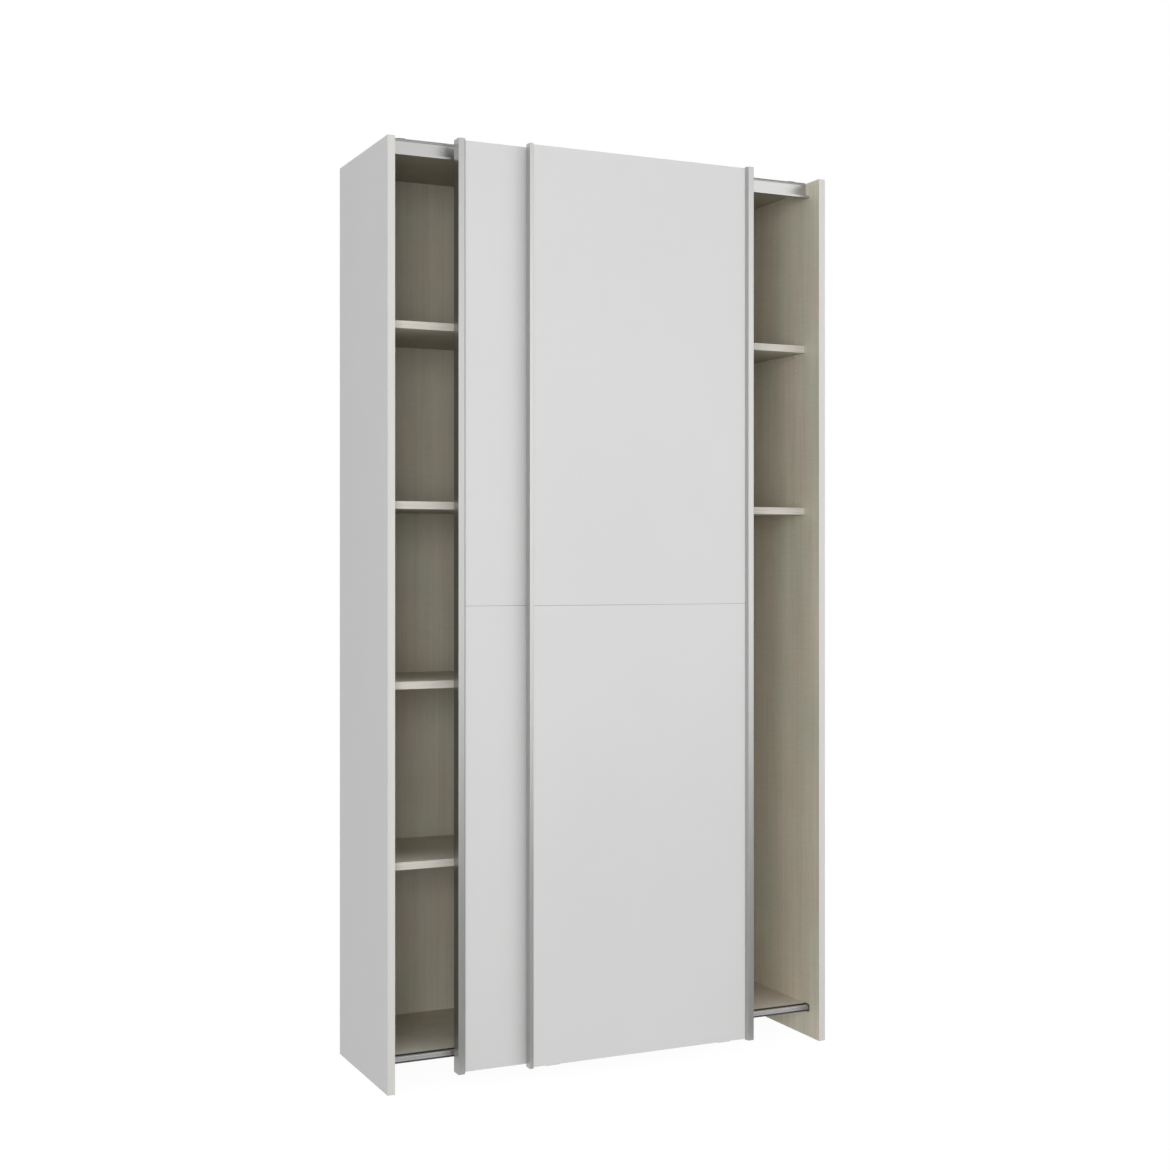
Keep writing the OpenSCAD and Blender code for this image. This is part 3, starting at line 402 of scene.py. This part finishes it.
facing_up = facing(tree)["Z"]
upward = math_node(tree, "GREATER_THAN", facing_up, MOSTLY)
downward = math_node(tree, "LESS_THAN", facing_up, -MOSTLY)
# Painted shade on the undersides, fading out towards the front edge.
darker = math_node(tree, "MULTIPLY", math_node(tree, "SUBTRACT", 1.0, nearness), downward)
# Painted light on the tops, strongest at the front edge.
paler = math_node(tree, "MULTIPLY", nearness, upward)
board_colour = mix_colours(tree, darker, board_colour, shaded_underside_colour)
board_colour = mix_colours(tree, paler, board_colour, lit_front_colour)
tree.links.new(mix_colours(tree, banded, board_colour, band_colour), shader.inputs["Base Color"])
raise_bump(tree, shader, weave, LINEN_RELIEF, LINEN_HEIGHT)
for name in ("top_panel", "bottom_panel", "partition_panel", "centre_foot", "left_shelf_1",
             "left_shelf_2", "left_shelf_3", "left_shelf_4", "right_shelf_1", "right_shelf_2"):
    dress(name, board_finish)

# Back sheets
# Thin fibreboard, printed with the linen pattern on the inside and bare brown behind. They are
# nailed into the rebates of the side panels and onto every board.
SHEET_LINEN = 0.945
BARE_DARK = (0.27, 0.17, 0.10, 1.0)
BARE_LIGHT = (0.36, 0.24, 0.15, 1.0)
BARE_DEPTH = 0.0027
SHEET_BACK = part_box("back_panel_left")[1][1]

sheet_finish, tree, shader = new_finish("back_sheet", roughness=0.55)
tone, patches, weave = linen_print(tree)
inner_colour = linen_colour(tree, tone, patches, SHEET_LINEN)
fibres = noise(tree, (420.0, 420.0, 420.0), detail=5.0, rough=0.7)
bare_colour = ramp(tree, fibres, [(0.32, BARE_DARK), (0.66, BARE_LIGHT)])
behind = math_node(tree, "GREATER_THAN", spot_on(tree)["Y"], SHEET_BACK - BARE_DEPTH)
tree.links.new(mix_colours(tree, behind, inner_colour, bare_colour), shader.inputs["Base Color"])
raise_bump(tree, shader, weave, LINEN_RELIEF, LINEN_HEIGHT)
for name in ("back_panel_left", "back_panel_right"):
    dress(name, sheet_finish, rounded=False)

# Door boards
# White laminated chipboard, two boards to a door, one above the other with a hairline seam.
# Their long edges sit in the aluminium profiles.
door_finish, tree, shader = new_finish("door_laminate", roughness=0.42)
white_colour, pearl = white_laminate(tree)
tree.links.new(white_colour, shader.inputs["Base Color"])
raise_bump(tree, shader, pearl, strength=0.12, distance=0.0002)
for door in ("rear", "front"):
    for half in ("upper", "lower"):
        dress(door + "_" + half + "_board", door_finish)

# Door profiles and upper rail
# Extruded aluminium, brushed along its length and anodised in its natural colour. The grips wrap
# the outer edges of the doors, the slim profiles close the inner ones, and the joint strips join the
# boards. The upper rail is screwed to the top board. The slim profiles and the upper rail are painted
# paler than the grips, a painted highlight for the light that they reflect, and the side face of the
# slim profile is painted paler still. The joint strips are painted darker, a painted shade for the
# shade of their seams.
ALUMINIUM = (0.40, 0.398, 0.392, 1.0)
ALUMINIUM_DARK = (0.338, 0.336, 0.331, 1.0)
BRUSH_FINE = 2600.0
BRUSH_LONG = 6.0
SLIM_PAINTED_LIGHT = 1.12
SLIM_SIDE_PAINTED_LIGHT = 1.20
UPPER_RAIL_PAINTED_LIGHT = 1.12
JOINT_PAINTED_SHADE = 0.70


def brush_colour(tree, lines, tone):
    """Colour of the metal along its brush lines, tone makes it paler or darker."""
    return ramp(tree, lines, [
        (place, tuple(c * tone for c in shade[:3]) + (1.0,))
        for place, shade in ((0.25, ALUMINIUM_DARK), (0.7, ALUMINIUM))])


def brushed_aluminium(name, brush, roughness, spread=0.5):
    """Anodised aluminium without its colour: the material, its tree, the shader and brush lines.

    brush is the unit vector along the lines, and spread is how much wider a reflection is
    across them than along them.
    """
    finish, tree, shader = new_finish(name, roughness)
    scale = tuple(BRUSH_LONG if along else BRUSH_FINE for along in brush)
    lines = noise(tree, scale, detail=4.0, rough=0.6)
    shader.inputs["Metallic"].default_value = 1.0
    shader.inputs["Anisotropic"].default_value = spread
    surface = tree.nodes.new("ShaderNodeNewGeometry")
    across = tree.nodes.new("ShaderNodeVectorMath")
    across.operation = "CROSS_PRODUCT"
    tree.links.new(surface.outputs["Normal"], across.inputs[0])
    across.inputs[1].default_value = brush
    tree.links.new(across.outputs["Vector"], shader.inputs["Tangent"])
    raise_bump(tree, shader, lines, strength=0.2, distance=0.0001)
    return finish, tree, shader, lines


def even_aluminium(name, brush, roughness, spread=0.5, tone=1.0):
    """Brushed aluminium with the same tone on every face."""
    finish, tree, shader, lines = brushed_aluminium(name, brush, roughness, spread)
    tree.links.new(brush_colour(tree, lines, tone), shader.inputs["Base Color"])
    return finish


upright_aluminium = even_aluminium("aluminium_upright", (0, 0, 1), roughness=0.36)
for name in ("rear_grip_profile", "rear_edge_profile", "front_grip_profile"):
    dress(name, upright_aluminium, rounded=False)

slim_aluminium, tree, shader, lines = brushed_aluminium("aluminium_slim_painted_light", (0, 0, 1), roughness=0.36)
# Painted highlight: the side face of the slim profile is painted paler than its front.
side_face = math_node(tree, "LESS_THAN", facing(tree)["X"], -MOSTLY)
slim_colour = mix_colours(tree, side_face, brush_colour(tree, lines, SLIM_PAINTED_LIGHT),
                          brush_colour(tree, lines, SLIM_SIDE_PAINTED_LIGHT))
tree.links.new(slim_colour, shader.inputs["Base Color"])
dress("front_edge_profile", slim_aluminium, rounded=False)

# Painted highlight: the upper rail is painted paler than the grips, for the light that its face
# reflects.
level_aluminium = even_aluminium("aluminium_level_painted_light", (1, 0, 0), roughness=0.34, spread=0.0,
                                 tone=UPPER_RAIL_PAINTED_LIGHT)
dress("top_rail", level_aluminium, rounded=False)
# Painted shade: the joint strips are painted darker, for the shade of their seams.
joint_aluminium = even_aluminium("aluminium_joint_painted_shade", (1, 0, 0), roughness=0.45, spread=0.0,
                                 tone=JOINT_PAINTED_SHADE)
for name in ("rear_joint_strip", "front_joint_strip"):
    dress(name, joint_aluminium, rounded=False)

# Lower rail
# The same aluminium with fine ridges along its front, and duller from dust. Its upper edge is painted
# paler, a painted highlight, and the inner walls and grooves are painted almost black, a painted
# shade.
RAIL_TONE = 1.10
GROOVE_SHADE_DARK = (0.034, 0.033, 0.031, 1.0)
GROOVE_SHADE_LIGHT = (0.056, 0.055, 0.053, 1.0)
TOP_EDGE_HIGHLIGHT = (0.86, 0.85, 0.83, 1.0)
TOP_EDGE_HIGHLIGHT_DULL = (0.74, 0.73, 0.71, 1.0)
DULL_METAL = 0.75
FRONT_WALL = 0.0016
TOP_HIGHLIGHT_HEIGHT = 0.0016
BACK_WALL = 0.0095
RAIL_LOW, RAIL_HIGH = (Vector(corner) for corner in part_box("bottom_rail"))

rail_finish, tree, shader, lines = brushed_aluminium("aluminium_lower_rail", (1, 0, 0), roughness=0.38)
spot = spot_on(tree)
# Painted shade: the walls behind the front face and the back wall are painted almost black, with no
# metal sheen.
behind_front = math_node(tree, "GREATER_THAN", spot["Y"], RAIL_LOW.y + FRONT_WALL)
below_top = math_node(tree, "LESS_THAN", spot["Z"], RAIL_HIGH.z - TOP_HIGHLIGHT_HEIGHT)
back_wall = math_node(tree, "GREATER_THAN", spot["Y"], RAIL_LOW.y + BACK_WALL)
shaded_groove = math_node(tree, "MAXIMUM", back_wall, math_node(tree, "MULTIPLY", behind_front, below_top))
# Painted highlight: the upper edge of the rail is painted pale.
top_highlight = math_node(tree, "GREATER_THAN", spot["Z"], RAIL_HIGH.z - TOP_HIGHLIGHT_HEIGHT)
highlight_streaks = noise(tree, (40.0, 1500.0, 1500.0), detail=3.0)
top_highlight_colour = ramp(tree, highlight_streaks, [(0.3, TOP_EDGE_HIGHLIGHT_DULL), (0.7, TOP_EDGE_HIGHLIGHT)])
front_colour = mix_colours(tree, top_highlight, brush_colour(tree, lines, RAIL_TONE), top_highlight_colour)
# Speckle of the painted shade in the grooves.
dust = noise(tree, (300.0, 300.0, 300.0), detail=4.0)
groove_shade_colour = ramp(tree, dust, [(0.3, GROOVE_SHADE_DARK), (0.7, GROOVE_SHADE_LIGHT)])
tree.links.new(mix_colours(tree, shaded_groove, front_colour, groove_shade_colour), shader.inputs["Base Color"])
outside_groove = math_node(tree, "SUBTRACT", 1.0, shaded_groove)
tree.links.new(math_node(tree, "MULTIPLY", outside_groove, DULL_METAL), shader.inputs["Metallic"])
dress("bottom_rail", rail_finish, rounded=False)

# Hangers, brackets and fittings
# Pressed and turned steel, bright zinc plated. The hangers and guide brackets are screwed to the
# backs of the doors, the cams and nails sit in the boards.
ZINC = (0.60, 0.61, 0.63, 1.0)
ZINC_BLUE = (0.50, 0.52, 0.56, 1.0)

zinc_finish, tree, shader = new_finish("zinc_plate", roughness=0.32)
spangle = noise(tree, (120.0, 120.0, 120.0), detail=4.0, rough=0.6)
tree.links.new(ramp(tree, spangle, [(0.3, ZINC_BLUE), (0.7, ZINC)]), shader.inputs["Base Color"])
shader.inputs["Metallic"].default_value = 1.0
raise_bump(tree, shader, spangle, strength=0.1, distance=0.0001)
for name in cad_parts:
    if (name.endswith(("_hanger", "_brackets", "_axles", "_nails", "_housings"))
            or name == "cam_bolts"):
        dress(name, zinc_finish, rounded=False)

# Shelf pins
# Turned steel with a matt nickel plating, pushed into the rows of holes in the panels. Their pale
# grey hardly shows against the linen.
NICKEL = (0.80, 0.77, 0.72, 1.0)
NICKEL_DULL = (0.70, 0.67, 0.62, 1.0)
NICKEL_METAL = 0.85

nickel_finish, tree, shader = new_finish("matt_nickel", roughness=0.62)
turning = noise(tree, (900.0, 900.0, 900.0), detail=3.0)
tree.links.new(ramp(tree, turning, [(0.3, NICKEL_DULL), (0.7, NICKEL)]), shader.inputs["Base Color"])
shader.inputs["Metallic"].default_value = NICKEL_METAL
raise_bump(tree, shader, turning, strength=0.1, distance=0.0001)
for name in ("shelf_pins_left", "shelf_pins_right"):
    dress(name, nickel_finish, rounded=False)

# Screws
# Bright zinc plated steel, driven into the backs of the doors, the rails, the wall brackets and the
# ends of the partition. Every carried-over screw gets a pressed cross recess in its head. The sizes
# of the recess are in head diameters.
CROSS_LENGTH = 0.55
CROSS_WIDTH = 0.14
CROSS_DEPTH = 0.14
CROSS_TIP = 0.22
CROSS_TIP_SIDES = 10
CROSS_TIP_RADIUS = 0.75
CROSS_SEED = 7
HEAD_MARGIN = 0.00005
QUARTER_TURN = math.pi / 2
SCREWS_AND_BODIES = {
    "top_rail_screws": "carcass",
    "bottom_rail_screws": "carcass",
    "partition_screws": "carcass",
    "wall_bracket_screws": "carcass",
    "rear_door_screws": "rear_door",
    "front_door_screws": "front_door"}


def merged_copy(name):
    """Mesh of a carried-over piece with its corners merged."""
    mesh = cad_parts[name].data.copy()
    shape = bmesh.new()
    shape.from_mesh(mesh)
    bmesh.ops.remove_doubles(shape, verts=shape.verts, dist=MERGE_DISTANCE)
    shape.to_mesh(mesh)
    shape.free()
    return mesh


def separate_solids(mesh):
    """Corner positions of each separate solid of a merged mesh."""
    neighbours = [[] for corner in mesh.vertices]
    for edge in mesh.edges:
        first, second = edge.vertices
        neighbours[first].append(second)
        neighbours[second].append(first)
    seen = [False] * len(neighbours)
    solids = []
    for start in range(len(neighbours)):
        if seen[start]:
            continue
        seen[start] = True
        waiting, found = [start], []
        while waiting:
            corner = waiting.pop()
            found.append(mesh.vertices[corner].co.copy())
            for other in neighbours[corner]:
                if not seen[other]:
                    seen[other] = True
                    waiting.append(other)
        solids.append(found)
    return solids


def head_of(corners):
    """Middle of a screw's head, the direction out of it, and the head's diameter."""
    low = Vector([min(c[k] for c in corners) for k in range(3)])
    high = Vector([max(c[k] for c in corners) for k in range(3)])
    size = high - low
    along = max(range(3), key=lambda k: size[k])
    middle = (low + high) / 2
    widest = []
    for end in (low[along], high[along]):
        at_end = [c for c in corners if abs(c[along] - end) < HEAD_MARGIN]
        widest.append(max(Vector([0 if k == along else c[k] - middle[k] for k in range(3)]).length
                          for c in at_end))
    head_is_low = widest[0] > widest[1]
    outward = Vector((0, 0, 0))
    outward[along] = -1 if head_is_low else 1
    middle[along] = low[along] if head_is_low else high[along]
    return middle, outward, max(size[k] for k in range(3) if k != along)


def pattern_tree(name, inputs):
    """New Geometry Nodes tree with one mesh output, inputs are (name, kind, value or None).

    Gives the tree, the identifiers of its inputs, and the sockets that bring their values.
    """
    tree = bpy.data.node_groups.new(name, "GeometryNodeTree")
    tree.interface.new_socket(name="Geometry", in_out="OUTPUT", socket_type="NodeSocketGeometry")
    identifiers = {}
    for input_name, kind, value in inputs:
        item = tree.interface.new_socket(name=input_name, in_out="INPUT", socket_type=kind)
        if value is not None:
            item.default_value = value
        identifiers[input_name] = item.identifier
    return tree, identifiers, tree.nodes.new("NodeGroupInput").outputs


def node_of(tree, kind, **settings):
    """New node of that kind, settings are its properties."""
    node = tree.nodes.new(kind)
    for name, value in settings.items():
        setattr(node, name, value)
    return node


def wire(tree, output, target):
    """Link from one node's output to another node's input."""
    tree.links.new(output, target)


def vector_of(tree, x, y, z):
    """Combined vector, each part is a socket or a number."""
    node = tree.nodes.new("ShaderNodeCombineXYZ")
    feed(tree, node, (x, y, z))
    return node.outputs[0]


def random_value(tree, kind, seed):
    """Random value for each point: the inputs for its least and its most, and its output."""
    node = node_of(tree, "FunctionNodeRandomValue", data_type=kind)
    wire(tree, seed, node.inputs["Seed"])
    least, most = [s for s in node.inputs if s.enabled and s.name in ("Min", "Max")]
    return least, most, [s for s in node.outputs if s.enabled][0]


def end_tree(tree, shape, finish):
    """End of a Geometry Nodes tree: the shape as one plain mesh in its finish."""
    whole = node_of(tree, "GeometryNodeRealizeInstances")
    wire(tree, shape, whole.inputs["Geometry"])
    painted = node_of(tree, "GeometryNodeSetMaterial")
    wire(tree, whole.outputs["Geometry"], painted.inputs["Geometry"])
    wire(tree, finish, painted.inputs["Material"])
    result = tree.nodes.new("NodeGroupOutput")
    wire(tree, painted.outputs["Geometry"], result.inputs["Geometry"])


def applied(name, start_mesh, tree, values):
    """Plain mesh that a Geometry Nodes tree makes from a start mesh, in an object of its own."""
    start = bpy.data.objects.new(name + "_start", start_mesh)
    bpy.context.scene.collection.objects.link(start)
    modifier = start.modifiers.new("pattern", "NODES")
    modifier.node_group = tree
    for identifier, value in values.items():
        modifier[identifier] = value
    graph = bpy.context.evaluated_depsgraph_get()
    mesh = bpy.data.meshes.new_from_object(start.evaluated_get(graph))
    start.modifiers.clear()
    bpy.data.objects.remove(start)
    piece = bpy.data.objects.new(name, mesh)
    bpy.context.scene.collection.objects.link(piece)
    return piece


cross_tree, cross_inputs, given = pattern_tree("cross_recesses", (
    ("Heads", "NodeSocketGeometry", None),
    ("Screws", "NodeSocketObject", None),
    ("Length", "NodeSocketFloat", CROSS_LENGTH),
    ("Width", "NodeSocketFloat", CROSS_WIDTH),
    ("Depth", "NodeSocketFloat", CROSS_DEPTH),
    ("Tip", "NodeSocketFloat", CROSS_TIP),
    ("Seed", "NodeSocketInt", CROSS_SEED),
    ("Finish", "NodeSocketMaterial", None)))
cutter = node_of(cross_tree, "GeometryNodeMeshBoolean", operation="UNION")
twice_depth = math_node(cross_tree, "MULTIPLY", given["Depth"], 2.0)
for x, y in ((given["Length"], given["Width"]), (given["Width"], given["Length"])):
    blade = node_of(cross_tree, "GeometryNodeMeshCube")
    wire(cross_tree, vector_of(cross_tree, x, y, twice_depth), blade.inputs["Size"])
    wire(cross_tree, blade.outputs["Mesh"], cutter.inputs["Mesh 2"])
tip = node_of(cross_tree, "GeometryNodeMeshCylinder")
tip.inputs["Vertices"].default_value = CROSS_TIP_SIDES
tip_radius = math_node(cross_tree, "MULTIPLY", given["Width"], CROSS_TIP_RADIUS)
wire(cross_tree, tip_radius, tip.inputs["Radius"])
wire(cross_tree, math_node(cross_tree, "MULTIPLY", given["Tip"], 2.0), tip.inputs["Depth"])
wire(cross_tree, tip.outputs["Mesh"], cutter.inputs["Mesh 2"])
outward = node_of(cross_tree, "GeometryNodeInputNamedAttribute", data_type="FLOAT_VECTOR")
outward.inputs["Name"].default_value = "outward"
width = node_of(cross_tree, "GeometryNodeInputNamedAttribute", data_type="FLOAT")
width.inputs["Name"].default_value = "head"
head_width = width.outputs["Attribute"]
upright = node_of(cross_tree, "FunctionNodeAlignRotationToVector", axis="Z")
wire(cross_tree, outward.outputs["Attribute"], upright.inputs["Vector"])
least, most, twist = random_value(cross_tree, "FLOAT", given["Seed"])
least.default_value, most.default_value = 0.0, QUARTER_TURN
turned = node_of(cross_tree, "FunctionNodeAxisAngleToRotation")
turned.inputs["Axis"].default_value = (0.0, 0.0, 1.0)
wire(cross_tree, twist, turned.inputs["Angle"])
placed = node_of(cross_tree, "FunctionNodeRotateRotation", rotation_space="LOCAL")
wire(cross_tree, upright.outputs["Rotation"], placed.inputs["Rotation"])
wire(cross_tree, turned.outputs["Rotation"], placed.inputs["Rotate By"])
cutters = node_of(cross_tree, "GeometryNodeInstanceOnPoints")
wire(cross_tree, given["Heads"], cutters.inputs["Points"])
wire(cross_tree, cutter.outputs["Mesh"], cutters.inputs["Instance"])
wire(cross_tree, placed.outputs["Rotation"], cutters.inputs["Rotation"])
wire(cross_tree, vector_of(cross_tree, head_width, head_width, head_width), cutters.inputs["Scale"])
solid_cutters = node_of(cross_tree, "GeometryNodeRealizeInstances")
wire(cross_tree, cutters.outputs["Instances"], solid_cutters.inputs["Geometry"])
plain_screws = node_of(cross_tree, "GeometryNodeObjectInfo")
wire(cross_tree, given["Screws"], plain_screws.inputs["Object"])
cut = node_of(cross_tree, "GeometryNodeMeshBoolean", operation="DIFFERENCE")
wire(cross_tree, plain_screws.outputs["Geometry"], cut.inputs["Mesh 1"])
wire(cross_tree, solid_cutters.outputs["Geometry"], cut.inputs["Mesh 2"])
end_tree(cross_tree, cut.outputs["Mesh"], given["Finish"])

for node, body in SCREWS_AND_BODIES.items():
    plain_mesh = merged_copy(node)
    heads = [head_of(corners) for corners in separate_solids(plain_mesh)]
    points = bpy.data.meshes.new(node + "_heads")
    points.from_pydata([middle for middle, away, diameter in heads], [], [])
    directions = points.attributes.new("outward", "FLOAT_VECTOR", "POINT")
    diameters = points.attributes.new("head", "FLOAT", "POINT")
    for index, (middle, away, diameter) in enumerate(heads):
        directions.data[index].vector = away
        diameters.data[index].value = diameter
    plain = bpy.data.objects.new(node + "_plain", plain_mesh)
    bpy.context.scene.collection.objects.link(plain)
    piece = applied(node.replace("_screws", "_cross_screws"), points, cross_tree,
                    {cross_inputs["Screws"]: plain, cross_inputs["Finish"]: zinc_finish})
    bpy.data.objects.remove(plain)
    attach(piece, body)
    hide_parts(node)

# Wheels and guides
# Turned and moulded nylon in its natural white. The wheels run on the axles, the tongues are
# screwed under the guide brackets and the shoes are clipped over them.
NYLON = (0.82, 0.81, 0.77, 1.0)
NYLON_CLOUD = 0.93
NYLON_MILKINESS = 0.1
NYLON_SCATTER = (0.002, 0.002, 0.0015)

nylon_finish, tree, shader = new_finish("nylon", roughness=0.38)
cloud = noise(tree, (260.0, 260.0, 260.0), detail=3.0)
darker = tuple(c * NYLON_CLOUD for c in NYLON[:3]) + (1.0,)
tree.links.new(ramp(tree, cloud, [(0.3, darker), (0.7, NYLON)]), shader.inputs["Base Color"])
shader.inputs["Subsurface Weight"].default_value = NYLON_MILKINESS
shader.inputs["Subsurface Radius"].default_value = NYLON_SCATTER
raise_bump(tree, shader, cloud, strength=0.1, distance=0.0001)
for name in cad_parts:
    if name.endswith(("_wheel", "_sliders")):
        dress(name, nylon_finish, rounded=False)

# Stops and buffers
# Moulded black rubber, dull and a little dusty. The stops are pressed over the upper rib, and the
# buffers are screwed to the rear door's back.
RUBBER = (0.018, 0.018, 0.018, 1.0)
RUBBER_DUSTY = (0.045, 0.044, 0.042, 1.0)

rubber_finish, tree, shader = new_finish("black_rubber", roughness=0.7)
dust = noise(tree, (300.0, 300.0, 300.0), detail=4.0)
tree.links.new(ramp(tree, dust, [(0.35, RUBBER), (0.75, RUBBER_DUSTY)]), shader.inputs["Base Color"])
raise_bump(tree, shader, dust, strength=0.3, distance=0.0002)
for name in ("rail_stops", "rear_door_buffers"):
    dress(name, rubber_finish)

# Dust seal of the upper rail
# A strip of dark grey pile on a woven back, glued into the recess along the rail's top edge. Three
# rows of short tufts point forward, each with a slight lean of its own, and hold the dust back.
# The pile's near-black tone is partly its own colour and partly painted shade, for the dark line along
# the rail's top edge.
PILE_AND_SHADE_DARK = (0.030, 0.030, 0.031, 1.0)
PILE_AND_SHADE_LIGHT = (0.115, 0.113, 0.108, 1.0)
PILE_SHEEN = 0.35
PILE_SHEEN_ROUGHNESS = 0.5
WOVEN_BACK = 0.0005
TUFT_ROWS = 3
TUFT_SPACING = 0.0011
TUFT_THICKNESS = 0.00042
TUFT_SIDES = 5
TUFT_TAPER = 0.35
TUFT_FILL = 0.92
TUFT_LEAN = 0.30
TUFT_SEED = 11
ROW_MARGINS = 4 * TUFT_THICKNESS

pile_finish, tree, shader = new_finish("grey_pile", roughness=0.95)
hairs = noise(tree, (5200.0, 700.0, 5200.0), detail=3.0, rough=0.7)
tree.links.new(ramp(tree, hairs, [(0.34, PILE_AND_SHADE_DARK), (0.68, PILE_AND_SHADE_LIGHT)]), shader.inputs["Base Color"])
shader.inputs["Sheen Weight"].default_value = PILE_SHEEN
shader.inputs["Sheen Roughness"].default_value = PILE_SHEEN_ROUGHNESS
raise_bump(tree, shader, hairs, strength=0.6, distance=0.0004)

seal_low, seal_high = (Vector(corner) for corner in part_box("rail_dust_seal"))
seal_width, seal_height = seal_high.x - seal_low.x, seal_high.z - seal_low.z
woven_front = seal_high.y - WOVEN_BACK
tuft_reach = (woven_front - seal_low.y) * TUFT_FILL

pile_tree, pile_inputs, given = pattern_tree("pile_tufts", (
    ("Rows", "NodeSocketGeometry", None),
    ("Reach", "NodeSocketFloat", tuft_reach),
    ("Thickness", "NodeSocketFloat", TUFT_THICKNESS),
    ("Lean", "NodeSocketFloat", TUFT_LEAN),
    ("Seed", "NodeSocketInt", TUFT_SEED),
    ("Finish", "NodeSocketMaterial", None)))
tuft = node_of(pile_tree, "GeometryNodeMeshCone")
tuft.inputs["Vertices"].default_value = TUFT_SIDES
tuft_tip = math_node(pile_tree, "MULTIPLY", given["Thickness"], TUFT_TAPER)
wire(pile_tree, tuft_tip, tuft.inputs["Radius Top"])
wire(pile_tree, given["Thickness"], tuft.inputs["Radius Bottom"])
wire(pile_tree, given["Reach"], tuft.inputs["Depth"])
least, most, lean = random_value(pile_tree, "FLOAT_VECTOR", given["Seed"])
other_way = math_node(pile_tree, "MULTIPLY", given["Lean"], -1.0)
raised = math_node(pile_tree, "ADD", other_way, QUARTER_TURN)
wire(pile_tree, vector_of(pile_tree, raised, other_way, other_way), least)
wire(pile_tree, vector_of(pile_tree, QUARTER_TURN, given["Lean"], given["Lean"]), most)
tufts = node_of(pile_tree, "GeometryNodeInstanceOnPoints")
wire(pile_tree, given["Rows"], tufts.inputs["Points"])
wire(pile_tree, tuft.outputs["Mesh"], tufts.inputs["Instance"])
wire(pile_tree, lean, tufts.inputs["Rotation"])
end_tree(pile_tree, tufts.outputs["Instances"], given["Finish"])

row_step = seal_height / TUFT_ROWS
tufts_in_row = int((seal_width - ROW_MARGINS) / TUFT_SPACING)
first_x = (seal_low.x + seal_high.x - (tufts_in_row - 1) * TUFT_SPACING) / 2
roots = bpy.data.meshes.new("tuft_roots")
roots.from_pydata([(first_x + k * TUFT_SPACING, woven_front, seal_low.z + (row + 0.5) * row_step)
                   for row in range(TUFT_ROWS) for k in range(tufts_in_row)], [], [])
dust_seal = applied("rail_dust_pile", roots, pile_tree, {pile_inputs["Finish"]: pile_finish})
woven_middle = Vector(((seal_low.x + seal_high.x) / 2, seal_high.y - WOVEN_BACK / 2,
                       (seal_low.z + seal_high.z) / 2))
woven_size = Vector((seal_width, WOVEN_BACK, seal_height))
seal = bmesh.new()
seal.from_mesh(dust_seal.data)
bmesh.ops.create_cube(seal, size=1.0, matrix=Matrix.LocRotScale(woven_middle, None, woven_size))
for corner in seal.verts:
    for k in range(3):
        corner.co[k] = min(max(corner.co[k], seal_low[k]), seal_high[k])
seal.to_mesh(dust_seal.data)
seal.free()
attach(dust_seal, "carcass")
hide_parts("rail_dust_seal")

# End caps of the lower rail
# Moulded in dark grey plastic with a fine spark-eroded grain, and pushed over the rail's cut ends.
# Their edges have the fine radius of the mould.
# The caps' near-black tone is partly the plastic's colour and partly painted shade, for the shade
# around the rail's ends.
CAP_AND_SHADE_DARK = (0.070, 0.070, 0.071, 1.0)
CAP_AND_SHADE_LIGHT = (0.105, 0.105, 0.106, 1.0)

cap_finish, tree, shader = new_finish("grey_plastic", roughness=0.55)
grain = noise(tree, (1400.0, 1400.0, 1400.0), detail=3.0, rough=0.6)
tree.links.new(ramp(tree, grain, [(0.35, CAP_AND_SHADE_DARK), (0.65, CAP_AND_SHADE_LIGHT)]), shader.inputs["Base Color"])
raise_bump(tree, shader, grain, strength=0.25, distance=0.0001)
dress("bottom_rail_caps", cap_finish)

# Dowels
# Fluted beech, turned and pressed with glue into the ends of the boards. Its grain runs along the
# dowel, from one board into the next.
BEECH_DARK = (0.46, 0.30, 0.17, 1.0)
BEECH_LIGHT = (0.64, 0.46, 0.29, 1.0)

beech_finish, tree, shader = new_finish("beech", roughness=0.6)
grain = noise(tree, (60.0, 700.0, 700.0), detail=5.0, rough=0.6)
tree.links.new(ramp(tree, grain, [(0.3, BEECH_DARK), (0.7, BEECH_LIGHT)]), shader.inputs["Base Color"])
raise_bump(tree, shader, grain, strength=0.3, distance=0.0002)
dress("wood_dowels", beech_finish, rounded=False)
